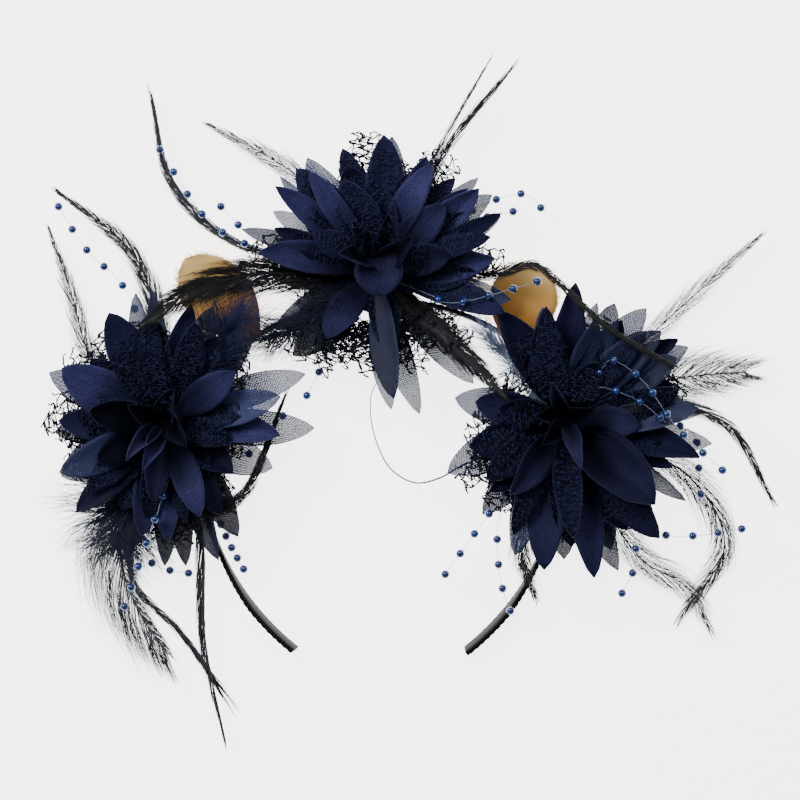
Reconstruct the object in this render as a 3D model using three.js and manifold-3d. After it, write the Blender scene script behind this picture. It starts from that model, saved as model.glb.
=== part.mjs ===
// Floral headband: a ribbon-wound band lying on its edge, with three cloth flowers that face up,
// feathers, downy plumes and strings of small beads. Millimetres, +Z up.
// The origin is the middle of the band's crown, on the face that it rests on. The band opens towards -Y.
import * as THREE from "three";
import { mergeVertices } from "three/addons/utils/BufferGeometryUtils.js";
import Module from "manifold-3d";

const wasm = await Module();
wasm.setup();

// Driving dimensions
const GAP = 0.3; // between pieces that are glued or lie on each other
const BAND = {
  halfWidth: 69, // of the crown's ellipse, at the middle of the strip
  crownDrop: 52, // from the crown down to the widest place
  armRadius: 98.8, // of each arm below the widest place
  armDrop: 77.5, // from the widest place down to the tip
  height: 5, // the strip stands on its edge
  thickness: 1.8,
  lean: 1.9, // the top edge lies this much further out than the foot
  steps: 61,
};
const PAD = { radius: 15, sides: 20 };
const HUB_SIDES = 12;
const CLOTH = 1; // wall of a hub, a petal, a lace lobe or a feather's vane
const BEAD = {
  radius: 1.5,
  thread: 0.45, // radius of the thread
  flat: 0.45, // half of the full part of a bead, as a share of its radius
  pitch: 9.5,
  rootClear: 12, // bare thread at the root
  sides: 6,
};
const PETAL = {
  columns: 2,
  rootWidth: 3.4,
  tipWidth: 0.9,
  fullness: 0.8, // exponent of the outline, less is blunter
  shoulder: 0.6, // share of the reach at which a flat petal is widest
  widestView: 80, // degrees off its own direction beyond which a flat petal isn't met
};
const FLAT_LAYER = {
  reach: 50, // at which the layer has its tip rise
  leastShare: 0.4, // of the shortest reach, where no petal is met
  middleRing: 0.55, // share of the way from the hub to the edge
  shoulderInset: 0.98, // keeps a shoulder's direction inside its petal
  nearest: 2, // degrees between two directions that are both kept
};
const FEATHER = { fullest: 0.45, rows: 10 };
const TAN_FEATHER = { rootShare: 0.16, fullest: 0.58, rootSpan: 0.62, endSpan: 0.425 };
const MERGE_DISTANCE = 1e-3; // joins the seams of three.js primitives
const STRAND_ROOT = { hub: 5.5, rim: PAD.radius + GAP + 0.1 };

// Flowers: where each pad sits, how thick it is, and how far the front petals lean towards +Y
const FLOWERS = {
  left: { x: -80, y: -45, pad: 3, lean: 0 },
  top: { x: -1, y: 10, pad: 6, lean: 12 },
  right: { x: 67, y: -44, pad: 3, lean: 0 },
};

// Layers from the pad up: height of the hub's foot above the pad, the hub's radius, how steeply a petal
// leaves the hub and ends, in degrees. Front layers also have how far the petals' edges cup up,
// where the petals start and the rows of facets along one
const LAYERS = {
  organza: { foot: 0.3, hub: 6.5, rootRise: 8, tipRise: -1 },
  lace: { foot: 1.6, hub: 6.5, rootRise: 12, tipRise: 6 },
  outer: { foot: 4.8, hub: 6.5, rootRise: 21, tipRise: 8 },
  middle: { foot: 8.0, hub: 6.5, rootRise: 36, tipRise: 14, cup: 1.6, start: 5, rows: 4 },
  inner: { foot: 9.3, hub: 4, rootRise: 72, tipRise: 48, cup: 1.6, start: 2.8, rows: 3 },
};
// Heights above a pad of the two gaps between hubs that feathers and strings come out of
const SLOT = {
  low: 3.7,
  high: 6.9,
  highRise: 3, // the most that the high gap rises above the outer layer
  stops: [13, 21, 30], // distances from the axis at which a strand keeps to its gap
  lastStop: 0.85, // share of the way to the first place passed
};

const COLOURS = {
  ribbon: { color: 0x15161b, roughness: 0.45, metalness: 0 },
  felt: { color: 0x14172a, roughness: 0.95, metalness: 0 },
  satin: { color: 0x1d2750, roughness: 0.5, metalness: 0 },
  organza: { color: 0x4b5675, roughness: 0.6, metalness: 0 },
  lace: { color: 0x10142a, roughness: 0.85, metalness: 0 },
  feather: { color: 0x191a20, roughness: 0.7, metalness: 0 },
  down: { color: 0x20254e, roughness: 0.9, metalness: 0 },
  tan: { color: 0xcda765, roughness: 0.7, metalness: 0 },
  bead: { color: 0x1f3f7d, roughness: 0.2, metalness: 0.1 },
};

// Petals of each cloth layer: azimuth in degrees from +X, reach and width in mm
const PETALS = {
  left: {
    organza: [
      { azimuth: 160, reach: 46.5, width: 14 },
      { azimuth: 185, reach: 41, width: 13 },
      { azimuth: 208, reach: 43.5, width: 17 },
      { azimuth: 232, reach: 40, width: 13 },
      { azimuth: 110, reach: 49, width: 9 },
      { azimuth: 95, reach: 49, width: 8 },
      { azimuth: 70, reach: 44, width: 12 },
      { azimuth: 22, reach: 55, width: 12 },
      { azimuth: -5, reach: 55.5, width: 14 },
      { azimuth: -28, reach: 43.5, width: 15 },
      { azimuth: -55, reach: 50.5, width: 13 },
      { azimuth: -71, reach: 55, width: 8 },
      { azimuth: -80, reach: 54, width: 8 },
      { azimuth: -88, reach: 53.5, width: 8 },
    ],
    lace: [
      { azimuth: 128, reach: 41, width: 20 },
      { azimuth: 150, reach: 45, width: 18 },
      { azimuth: 175, reach: 46, width: 20 },
      { azimuth: 208, reach: 41, width: 22 },
      { azimuth: 238, reach: 37, width: 20 },
      { azimuth: -95, reach: 44, width: 18 },
      { azimuth: -58, reach: 42, width: 20 },
      { azimuth: -26, reach: 33, width: 20 },
      { azimuth: 8, reach: 38, width: 22 },
      { azimuth: 36, reach: 44, width: 20 },
      { azimuth: 64, reach: 40, width: 20 },
      { azimuth: 98, reach: 40, width: 20 },
    ],
    outer: [
      { azimuth: 157, reach: 42, width: 17.5 },
      { azimuth: 184, reach: 38.5, width: 13 },
      { azimuth: 207, reach: 34, width: 14 },
      { azimuth: 231, reach: 46, width: 13 },
      { azimuth: 118, reach: 44.5, width: 16 },
      { azimuth: 81, reach: 44.5, width: 11 },
      { azimuth: 52, reach: 38, width: 13 },
      { azimuth: -1, reach: 43.5, width: 12 },
      { azimuth: -36, reach: 36, width: 13 },
      { azimuth: -58, reach: 40, width: 12 },
      { azimuth: -88, reach: 43.5, width: 9.5 },
      { azimuth: -103, reach: 42.5, width: 9.5 },
    ],
    middle: [
      { azimuth: 32, reach: 32.5, width: 12 },
      { azimuth: -64, reach: 37, width: 11 },
      { azimuth: 100, reach: 27, width: 12 },
      { azimuth: 172, reach: 27, width: 12 },
      { azimuth: 216, reach: 28, width: 12 },
      { azimuth: -98, reach: 29, width: 9 },
      { azimuth: -18, reach: 26, width: 11 },
    ],
    inner: [
      { azimuth: 247, reach: 17, width: 7 },
      { azimuth: 226, reach: 17, width: 7 },
      { azimuth: 62, reach: 13, width: 9 },
      { azimuth: 150, reach: 13, width: 9 },
      { azimuth: -35, reach: 14, width: 9 },
    ],
  },
  top: {
    organza: [
      { azimuth: 141, reach: 51, width: 7 },
      { azimuth: 150, reach: 45, width: 10 },
      { azimuth: 161, reach: 53, width: 8 },
      { azimuth: 126, reach: 50, width: 14 },
      { azimuth: 82, reach: 50.5, width: 14 },
      { azimuth: 45, reach: 51, width: 8 },
      { azimuth: 35, reach: 51, width: 12 },
      { azimuth: 20, reach: 50, width: 9 },
      { azimuth: -15, reach: 50, width: 12 },
      { azimuth: -49, reach: 54, width: 12 },
      { azimuth: -78, reach: 54.5, width: 11 },
      { azimuth: -91, reach: 51, width: 9 },
      { azimuth: 228, reach: 42, width: 13 },
      { azimuth: 184, reach: 40, width: 11 },
    ],
    lace: [
      { azimuth: 102, reach: 45, width: 18 },
      { azimuth: 76, reach: 42, width: 18 },
      { azimuth: 57, reach: 49, width: 16 },
      { azimuth: 34, reach: 40, width: 16 },
      { azimuth: 9, reach: 49, width: 14 },
      { azimuth: -42, reach: 45, width: 14 },
      { azimuth: -74, reach: 33, width: 18 },
      { azimuth: -100, reach: 40, width: 16 },
      { azimuth: -121, reach: 37, width: 16 },
      { azimuth: 174, reach: 50, width: 13 },
      { azimuth: 200, reach: 33, width: 16 },
      { azimuth: 131, reach: 40, width: 20 },
    ],
    outer: [
      { azimuth: 84, reach: 50, width: 15.5 },
      { azimuth: 62, reach: 46, width: 11.5 },
      { azimuth: 45, reach: 45, width: 9 },
      { azimuth: 36, reach: 48, width: 13 },
      { azimuth: 22, reach: 50, width: 8.5 },
      { azimuth: 4, reach: 43, width: 12.5 },
      { azimuth: -13, reach: 49, width: 11.5 },
      { azimuth: 124, reach: 48, width: 16 },
      { azimuth: 138, reach: 49, width: 10 },
      { azimuth: 153, reach: 41, width: 9 },
      { azimuth: 165, reach: 44.5, width: 12 },
      { azimuth: 226, reach: 31, width: 13 },
      { azimuth: -86, reach: 47, width: 13.5 },
    ],
    middle: [
      { azimuth: 66, reach: 40, width: 11.5 },
      { azimuth: 131, reach: 41, width: 9 },
      { azimuth: 110, reach: 32, width: 16 },
      { azimuth: 88, reach: 28, width: 13 },
      { azimuth: 38, reach: 32, width: 13 },
      { azimuth: 8, reach: 26, width: 12 },
      { azimuth: 153, reach: 26, width: 10 },
    ],
    inner: [
      { azimuth: 80, reach: 15, width: 9 },
      { azimuth: 125, reach: 15, width: 9 },
      { azimuth: 28, reach: 14, width: 9 },
      { azimuth: 185, reach: 14, width: 9 },
      { azimuth: -76, reach: 15, width: 15 },
    ],
  },
  right: {
    organza: [
      { azimuth: 74, reach: 45, width: 8 },
      { azimuth: 57, reach: 51.5, width: 14 },
      { azimuth: 33, reach: 54, width: 13 },
      { azimuth: 1, reach: 53, width: 9 },
      { azimuth: -12.5, reach: 56.5, width: 12 },
      { azimuth: -33.5, reach: 55, width: 8 },
      { azimuth: -46, reach: 49.5, width: 11 },
      { azimuth: -76, reach: 60, width: 12 },
      { azimuth: -114, reach: 53.5, width: 13 },
      { azimuth: 201, reach: 47, width: 16 },
      { azimuth: 170, reach: 40.5, width: 14 },
      { azimuth: 102, reach: 42, width: 11 },
    ],
    lace: [
      { azimuth: 192, reach: 38, width: 20 },
      { azimuth: 231, reach: 43, width: 18 },
      { azimuth: 258, reach: 38, width: 20 },
      { azimuth: -87, reach: 47, width: 16 },
      { azimuth: -54, reach: 52, width: 15 },
      { azimuth: -22, reach: 40, width: 20 },
      { azimuth: 11, reach: 48, width: 18 },
      { azimuth: 36, reach: 44, width: 18 },
      { azimuth: 60, reach: 42, width: 18 },
      { azimuth: 84, reach: 40, width: 18 },
      { azimuth: 108, reach: 35, width: 18 },
      { azimuth: 152, reach: 30, width: 18 },
    ],
    outer: [
      { azimuth: 118, reach: 46.5, width: 15 },
      { azimuth: 88, reach: 50, width: 12.5 },
      { azimuth: 60, reach: 42, width: 14 },
      { azimuth: 39.5, reach: 51, width: 11 },
      { azimuth: 24, reach: 43, width: 12 },
      { azimuth: -12, reach: 52, width: 13 },
      { azimuth: -25, reach: 44, width: 8 },
      { azimuth: -54, reach: 56, width: 15 },
      { azimuth: -76, reach: 59, width: 13 },
      { azimuth: -103, reach: 56, width: 15 },
      { azimuth: -135, reach: 38, width: 12 },
      { azimuth: 200, reach: 45.5, width: 16 },
      { azimuth: 170, reach: 39, width: 14 },
    ],
    middle: [
      { azimuth: -4, reach: 28, width: 12 },
      { azimuth: -43, reach: 45, width: 20 },
      { azimuth: -86, reach: 43, width: 11 },
      { azimuth: -122, reach: 34, width: 12 },
      { azimuth: 172, reach: 24, width: 11 },
      { azimuth: 62, reach: 24, width: 13 },
      { azimuth: 106, reach: 29, width: 14 },
    ],
    inner: [
      { azimuth: 262, reach: 15, width: 7 },
      { azimuth: 232, reach: 13, width: 7 },
      { azimuth: -54, reach: 18, width: 8 },
      { azimuth: 20, reach: 13, width: 9 },
      { azimuth: 120, reach: 13, width: 9 },
    ],
  },
};

// Feathers and plumes: the flower that holds each one, the azimuth it leaves at, where it is rooted
// (pad rim or a gap between hubs), a rim root's height above the band, the places that it passes,
// and its widths at the root, at its fullest place and at the tip
const VANES = [
  { name: "left_feather_long", flower: "left", azimuth: 88, root: "rim", height: 0.9,
    via: [[-91, 15.5, 5.5]], tip: [-121.5, 41.5, 4.5], widths: [3, 4.5, 1.2] },
  { name: "left_feather_thin", flower: "left", azimuth: 140, root: "rim", height: 2.4,
    via: [[-108, -20, 7], [-115, 2, 6]], tip: [-124, 28, 5], widths: [2, 6, 1.2] },
  { name: "left_plume", flower: "left", azimuth: 242, root: "rim", height: 2.4,
    via: [[-99, -90, 7], [-93, -111, 6.6]], tip: [-79, -132, 6.2], widths: [7, 18, 3] },
  { name: "left_feather_strands", flower: "left", azimuth: 250, root: "rim", height: 0.6,
    via: [[-93, -103, 2.4], [-74.5, -124, 1.9]], tip: [-60.5, -144, 1.6], widths: [3, 4.5, 1.5] },
  { name: "left_feather_hanging", flower: "left", azimuth: -74, root: "rim", height: 2.4,
    via: [[-67, -85, 7.6], [-65.5, -126, 6.4]], tip: [-57.7, -165, 4], widths: [3, 4.2, 1.2] },
  { name: "left_feather_front", flower: "left", azimuth: -68, root: "low",
    via: [[-67, -77, 17.5], [-52, -73, 18.5]], tip: [-34.8, -34.5, 20], widths: [2, 4, 1.2] },
  { name: "left_down", flower: "left", azimuth: 54, root: "low",
    via: [[-64, -23, 16.4]], tip: [-52, -5, 20.6], widths: [3, 16, 5] },
  { name: "top_feather_curved", flower: "top", azimuth: 168, root: "rim", height: 0.7,
    via: [[-54, 22, 6], [-77, 43, 5.6]], tip: [-85.5, 77, 5.5], widths: [2.4, 4, 1.2] },
  { name: "top_feather_wispy", flower: "top", azimuth: 131, root: "rim", height: 1.4,
    via: [[-31, 46, 6.4]], tip: [-65.5, 66, 6], widths: [3, 8, 1.2] },
  { name: "top_feather_fine", flower: "top", azimuth: 66, root: "rim", height: 0.7,
    via: [[23, 59, 6]], tip: [40.7, 90, 6], widths: [2, 3, 1.2] },
  { name: "top_feather_upright", flower: "top", azimuth: 56, root: "rim", height: 4,
    via: [[24.8, 57, 9.6]], tip: [49, 86.5, 10], widths: [2, 3.6, 1.2] },
  { name: "top_feather_left", flower: "top", azimuth: 182, root: "low",
    via: [[-44.8, 9.3, 22], [-67, 3.7, 28.5]], tip: [-87, -9.3, 31.5], widths: [3, 8.5, 1.6] },
  { name: "top_feather_arched", flower: "top", azimuth: -2, root: "low",
    via: [[44, 9.6, 22.5], [56, 12.2, 26], [81, -9.3, 31.5]], tip: [105, -24, 32.5],
    widths: [3, 4.5, 1.4] },
  { name: "top_feather_dark", flower: "top", azimuth: -47, root: "low",
    via: [[27.4, -16.7, 21]], tip: [46, -36.5, 28], widths: [3, 8, 1.4] },
  { name: "top_down", flower: "top", azimuth: 213, root: "low",
    via: [[-27, -9, 19.4]], tip: [-43, -14.5, 21.5], widths: [3, 11, 4] },
  { name: "right_feather_high", flower: "right", azimuth: 44, root: "rim", height: 1.4,
    via: [[104, -9.3, 6.4]], tip: [142, 25, 6], widths: [2.4, 5.5, 1.2] },
  { name: "right_feather_fan", flower: "right", azimuth: 24, root: "rim", height: 1.4,
    via: [[110.5, -29, 6.4]], tip: [136, -26.5, 6], widths: [2.4, 9, 1.6] },
  { name: "right_feather_front", flower: "right", azimuth: 20, root: "high",
    via: [[101.5, -37, 24], [127, -46, 22]], tip: [145, -74.5, 12], widths: [2.4, 4.6, 1.2] },
  { name: "right_feather_hook", flower: "right", azimuth: -25, root: "rim", height: 0.7,
    via: [[114, -65, 2.4], [128, -90.5, 1.8]], tip: [111, -119, 1.6], widths: [2.4, 7, 1.2] },
  { name: "right_feather_low", flower: "right", azimuth: -66, root: "rim", height: 2.4,
    via: [[96, -95.5, 7], [114.3, -107.3, 5.8]], tip: [122.5, -123, 5], widths: [2.4, 5, 1.2] },
  { name: "right_feather_short", flower: "right", azimuth: -108, root: "rim", height: 1.6,
    via: [[52, -94, 6.6]], tip: [57.7, -111, 6.2], widths: [2.4, 6, 1.4] },
  { name: "right_down", flower: "right", azimuth: 132, root: "low",
    via: [[50, -24, 17]], tip: [39.5, -13.5, 20.5], widths: [3, 11, 5] },
];

// Tan feathers glued on the band between the flowers: root, tip and full width, with a round end
const TAN_FEATHERS = [
  { name: "left_tan_feather", root: [-46.6, -13.7], tip: [-73, 15.5], width: 25, rise: 1.6 },
  { name: "right_tan_feather", root: [46.6, -13.7], tip: [58.5, 13.5], width: 25, rise: 1.6 },
];

// Sprays of beads: the flower, the root's azimuth and place, and the strings. A second string
// branches off the first one, from a share of its length
const SPRAYS = [
  { name: "left_beads_top", flower: "left", azimuth: 102, root: "rim", height: 1.5,
    strings: [{ via: [[-95, 4, 7.4]], tip: [-121.2, 37.2, 9] }] },
  { name: "left_beads_front", flower: "left", azimuth: -80, root: "high",
    strings: [{ via: [[-77.5, -63, 21.4], [-86, -90, 28.5]], tip: [-95.5, -115.5, 14] }] },
  { name: "left_beads_low", flower: "left", azimuth: 263, root: "rim", height: 1.5,
    strings: [{ via: [[-83.5, -93, 7]], tip: [-70.5, -102, 6.8] }] },
  { name: "left_beads_arm", flower: "left", azimuth: -48, root: "rim", height: 1.5,
    strings: [{ via: [[-57.6, -87.5, 7.2]], tip: [-50, -101, 7] }] },
  { name: "left_beads_side", flower: "left", azimuth: -30, root: "rim", height: 1.5,
    strings: [{ via: [[-51.4, -58, 7]], tip: [-34.5, -40.5, 7.4] }] },
  { name: "top_beads_left", flower: "top", azimuth: 170, root: "rim", height: 4.4,
    strings: [
      { via: [[-42, 18, 9.7], [-62.5, 28, 9.6]], tip: [-83.5, 58, 9.6] },
      { from: 0.3, via: [[-52, 27, 9.8]], tip: [-61.5, 37, 9.8] },
    ] },
  { name: "top_beads_right", flower: "top", azimuth: 30, root: "rim", height: 3.4,
    strings: [
      { via: [[36, 34.5, 9], [54, 39.2, 9]], tip: [61, 32, 9] },
      { from: 0.3, via: [[37, 30.5, 8.8]], tip: [52, 33.5, 8.8] },
    ] },
  { name: "top_beads_front", flower: "top", azimuth: -27, root: "high",
    strings: [{ via: [[25, -1.5, 28], [46, 3, 29.5]], tip: [60, 7.2, 31.5] }] },
  { name: "top_beads_low", flower: "top", azimuth: -120, root: "rim", height: 3,
    strings: [{ via: [[-18, -17.5, 8.3]], tip: [-29, -38, 7.6] }] },
  { name: "right_beads_top", flower: "right", azimuth: 52, root: "high",
    strings: [
      { via: [[84, -22.5, 28.5], [94.5, -28.8, 30.5], [108.5, -47.5, 31.5]], tip: [127, -64.5, 27] },
      { from: 0.12, via: [[84, -33, 26.5], [95, -37.8, 28.5]], tip: [104.3, -45.4, 29] },
    ] },
  { name: "right_beads_side", flower: "right", azimuth: -3, root: "rim", height: 1.5,
    strings: [{ via: [[115, -48.5, 6.8], [118, -62, 6.6]], tip: [119, -75, 6] }] },
  { name: "right_beads_low", flower: "right", azimuth: -57, root: "low",
    strings: [
      { via: [[103, -86, 21.5], [114, -87, 20.5]], tip: [136, -84, 18] },
      { from: 0.3, via: [[94, -95, 18.5]], tip: [88, -111, 12] },
    ] },
  { name: "right_beads_arm", flower: "right", azimuth: -127, root: "low",
    strings: [
      { via: [[42, -76, 18]], tip: [22, -104, 10] },
      { from: 0.4, via: [[43, -84, 17.5], [44.5, -105, 12]], tip: [49, -118, 9] },
    ] },
];

// Geometry helpers

const radians = THREE.MathUtils.degToRad;

function geometryOf(vertices, triangles) {
  const geometry = new THREE.BufferGeometry();
  const places = vertices.flatMap((v) => v.toArray());
  geometry.setAttribute("position", new THREE.Float32BufferAttribute(places, 3));
  geometry.setIndex(triangles.flat());
  return geometry;
}

function asSolid(geometry) {
  const bare = geometry.clone();
  bare.deleteAttribute("normal");
  bare.deleteAttribute("uv");
  const merged = mergeVertices(bare, MERGE_DISTANCE);
  return new wasm.Manifold(new wasm.Mesh({
    numProp: 3,
    vertProperties: merged.attributes.position.array,
    triVerts: new Uint32Array(merged.index.array),
  }));
}

function united(geometries) {
  const mesh = geometries.map(asSolid).reduce((joined, next) => joined.add(next)).getMesh();
  const geometry = new THREE.BufferGeometry();
  geometry.setAttribute("position", new THREE.Float32BufferAttribute(mesh.vertProperties, 3));
  geometry.setIndex(new THREE.BufferAttribute(mesh.triVerts, 1));
  return geometry;
}

// A closed wall round a grid of points, with half the thickness on each side along its normals
function wall(points, normals, thickness) {
  const rows = points.length;
  const columns = points[0].length;
  const side = (sign) => points.flatMap((row, i) =>
    row.map((p, j) => p.clone().addScaledVector(normals[i][j], (sign * thickness) / 2)));
  const vertices = [...side(1), ...side(-1)];
  const at = (i, j, below) => i * columns + j + (below ? rows * columns : 0);
  const triangles = [];
  const quad = (a, b, c, d) => triangles.push([a, b, c], [a, c, d]);
  for (let i = 0; i + 1 < rows; i++) {
    for (let j = 0; j + 1 < columns; j++) {
      quad(at(i, j), at(i + 1, j), at(i + 1, j + 1), at(i, j + 1));
      quad(at(i, j, true), at(i, j + 1, true), at(i + 1, j + 1, true), at(i + 1, j, true));
    }
    quad(at(i, 0), at(i, 0, true), at(i + 1, 0, true), at(i + 1, 0));
    const last = columns - 1;
    quad(at(i, last), at(i + 1, last), at(i + 1, last, true), at(i, last, true));
  }
  for (let j = 0; j + 1 < columns; j++) {
    const end = rows - 1;
    quad(at(0, j), at(0, j + 1), at(0, j + 1, true), at(0, j, true));
    quad(at(end, j), at(end, j, true), at(end, j + 1, true), at(end, j + 1));
  }
  return geometryOf(vertices, triangles);
}

// Band: a flat strip on its edge, swept along the crown's half ellipse and two arms that close in

class BandLine extends THREE.Curve {
  getPoint(share, target = new THREE.Vector3()) {
    const armTurn = Math.asin(BAND.armDrop / BAND.armRadius);
    const crownLength = Math.PI * Math.sqrt((BAND.halfWidth ** 2 + BAND.crownDrop ** 2) / 2);
    const armLength = BAND.armRadius * armTurn;
    const along = (share - 0.5) * (crownLength + 2 * armLength);
    const side = Math.sign(along) || 1;
    const onArm = Math.abs(along) - crownLength / 2;
    if (onArm <= 0) {
      const turn = (along / crownLength) * Math.PI;
      return target.set(BAND.halfWidth * Math.sin(turn), BAND.crownDrop * (Math.cos(turn) - 1), 0);
    }
    const turn = onArm / BAND.armRadius;
    const inset = BAND.armRadius * (1 - Math.cos(turn));
    const drop = BAND.crownDrop + BAND.armRadius * Math.sin(turn);
    return target.set(side * (BAND.halfWidth - inset), -drop, 0);
  }
}

function bandGeometry() {
  const half = BAND.thickness / 2;
  const corner = half / 2;
  const rows = [];
  const line = new BandLine();
  // Foot, inner face, top edge, outer face: outward is positive, corners are chamfered
  const section = [
    [-half, 0],
    [half, 0],
    [half + BAND.lean - corner / 4, BAND.height - corner],
    [half + BAND.lean - corner, BAND.height],
    [-half + BAND.lean + corner, BAND.height],
    [-half + BAND.lean - corner / 4, BAND.height - corner],
  ];
  for (let i = 0; i <= BAND.steps; i++) {
    const p = line.getPoint(i / BAND.steps);
    const tangent = line.getTangent(i / BAND.steps);
    const outward = new THREE.Vector3(-tangent.y, tangent.x, 0);
    rows.push(section.map(([out, z]) => p.clone().addScaledVector(outward, out).setZ(z)));
  }
  const n = section.length;
  const triangles = [];
  for (let i = 0; i < BAND.steps; i++) {
    for (let j = 0; j < n; j++) {
      const [a, b] = [i * n + j, i * n + ((j + 1) % n)];
      triangles.push([a, b + n, a + n], [a, b, b + n]);
    }
  }
  const end = BAND.steps * n;
  for (let j = 1; j + 1 < n; j++) {
    triangles.push([0, j + 1, j], [end, end + j, end + j + 1]);
  }
  return geometryOf(rows.flat(), triangles);
}

// Flowers

const padFoot = BAND.height + GAP;

function padGeometry(thickness) {
  const disc = new THREE.CylinderGeometry(PAD.radius, PAD.radius, thickness, PAD.sides);
  return disc.rotateX(Math.PI / 2).translate(0, 0, thickness / 2);
}

function hubGeometry({ foot, hub }) {
  const disc = new THREE.CylinderGeometry(hub, hub, CLOTH, HUB_SIDES);
  return disc.rotateX(Math.PI / 2).translate(0, 0, foot + CLOTH / 2);
}

// Height of a flat layer's middle above its hub, at a distance from the flower's axis
function bowlHeight({ hub, rootRise, tipRise }, radius) {
  const out = Math.max(0, radius - hub);
  const [start, end] = [Math.tan(radians(rootRise)), Math.tan(radians(tipRise))];
  return out * start + ((end - start) * out * out) / (2 * FLAT_LAYER.reach);
}

// Reach of one pointed petal in a direction that lies `off` degrees from its own, zero beside it
function petalReach({ reach, width }, off) {
  const slope = Math.tan(radians(Math.abs(off)));
  const [along, half] = [PETAL.shoulder * reach, width / 2];
  if (Math.abs(off) > PETAL.widestView || along * slope > half) return 0;
  const share = (half - along * slope) / (half + (reach - along) * slope);
  const x = along + (reach - along) * share;
  return x * Math.hypot(1, slope);
}

// A flat layer in one piece, as it is die-cut: a hub whose edge runs out into the petals
function flatLayerGeometry(rows, layer) {
  const least = FLAT_LAYER.leastShare * Math.min(...rows.map((row) => row.reach));
  const turned = (angle) => ((angle % 360) + 360) % 360;
  const apart = (a, b) => ((a - b + 540) % 360) - 180;
  const sorted = [...rows].sort((a, b) => turned(a.azimuth) - turned(b.azimuth));
  const directions = sorted.flatMap((row, i) => {
    const next = sorted[(i + 1) % sorted.length];
    const halfAngle = Math.atan(row.width / 2 / (PETAL.shoulder * row.reach));
    const shoulder = THREE.MathUtils.radToDeg(halfAngle) * FLAT_LAYER.shoulderInset;
    const valley = row.azimuth + turned(next.azimuth - row.azimuth) / 2;
    return [row.azimuth - shoulder, row.azimuth, row.azimuth + shoulder, valley].map(turned);
  });
  const tips = rows.map((row) => turned(row.azimuth));
  const clearOf = (other, d) => Math.abs(apart(other, d)) > FLAT_LAYER.nearest;
  const kept = directions.filter((d, i) => tips.includes(d)
    || (tips.every((tip) => clearOf(tip, d))
      && directions.every((other, k) => k >= i || tips.includes(other) || clearOf(other, d))));
  kept.sort((a, b) => a - b);
  const reachAt = (d) => Math.max(least, ...rows.map((row) => petalReach(row, apart(d, row.azimuth))));
  const edge = kept.map(reachAt);
  const rings = [
    kept.map(() => layer.hub),
    edge.map((r) => THREE.MathUtils.lerp(layer.hub, r, FLAT_LAYER.middleRing)),
    edge,
  ];
  const vertices = [];
  for (const up of [1, 0]) {
    vertices.push(new THREE.Vector3(0, 0, layer.foot + up * CLOTH));
    rings.forEach((ring) => ring.forEach((r, k) => {
      const angle = radians(kept[k]);
      const z = layer.foot + up * CLOTH + bowlHeight(layer, r);
      vertices.push(new THREE.Vector3(r * Math.cos(angle), r * Math.sin(angle), z));
    }));
  }
  const n = kept.length;
  const below = 1 + rings.length * n;
  const at = (ring, k, under) => 1 + ring * n + (k % n) + (under ? below : 0);
  const triangles = [];
  for (let k = 0; k < n; k++) {
    triangles.push([0, at(0, k), at(0, k + 1)], [below, at(0, k + 1, true), at(0, k, true)]);
    for (let ring = 0; ring + 1 < rings.length; ring++) {
      triangles.push([at(ring, k), at(ring + 1, k), at(ring + 1, k + 1)]);
      triangles.push([at(ring, k), at(ring + 1, k + 1), at(ring, k + 1)]);
      triangles.push([at(ring, k, true), at(ring + 1, k + 1, true), at(ring + 1, k, true)]);
      triangles.push([at(ring, k, true), at(ring, k + 1, true), at(ring + 1, k + 1, true)]);
    }
    const rim = rings.length - 1;
    triangles.push([at(rim, k), at(rim, k, true), at(rim, k + 1, true)]);
    triangles.push([at(rim, k), at(rim, k + 1, true), at(rim, k + 1)]);
  }
  return geometryOf(vertices, triangles);
}

// One petal of the front: a cupped leaf that leaves the hub at the root rise and ends at the tip rise
function petalGeometry({ azimuth, reach, width }, layer) {
  const outwards = new THREE.Vector3(Math.cos(radians(azimuth)), Math.sin(radians(azimuth)), 0);
  const sideways = new THREE.Vector3(-outwards.y, outwards.x, 0);
  const riseAt = (share) => radians(THREE.MathUtils.lerp(layer.rootRise, layer.tipRise, share));
  let [across, up] = [0, 0];
  const spine = [[0, 0]];
  for (let i = 0; i < layer.rows; i++) {
    const rise = riseAt((i + 0.5) / layer.rows);
    across += Math.cos(rise);
    up += Math.sin(rise);
    spine.push([across, up]);
  }
  const scale = (reach - layer.start) / across;
  const [points, normals] = [[], []];
  spine.forEach(([r, z], i) => {
    const share = i / layer.rows;
    const full = Math.sin(Math.PI * share ** PETAL.fullness) ** PETAL.fullness;
    const least = THREE.MathUtils.lerp(PETAL.rootWidth, PETAL.tipWidth, share);
    const halfWidth = Math.max(width * full, least) / 2;
    const rise = riseAt(share);
    const normal = new THREE.Vector3(0, 0, Math.cos(rise)).addScaledVector(outwards, -Math.sin(rise));
    const middle = outwards.clone().multiplyScalar(layer.start + r * scale);
    middle.z = layer.foot + CLOTH / 2 + z * scale;
    const [row, rowNormals] = [[], []];
    for (let j = 0; j <= PETAL.columns; j++) {
      const t = (2 * j) / PETAL.columns - 1;
      const cup = layer.cup * t * t * full;
      row.push(middle.clone().addScaledVector(sideways, halfWidth * t).addScaledVector(normal, cup));
      rowNormals.push(normal);
    }
    points.push(row);
    normals.push(rowNormals);
  });
  return wall(points, normals, CLOTH);
}

function layerGeometry(flower, name) {
  const [rows, layer] = [PETALS[flower][name], LAYERS[name]];
  if (!layer.cup) return flatLayerGeometry(rows, layer);
  return united([hubGeometry(layer), ...rows.map((row) => petalGeometry(row, layer))]);
}

// Free strands

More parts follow.
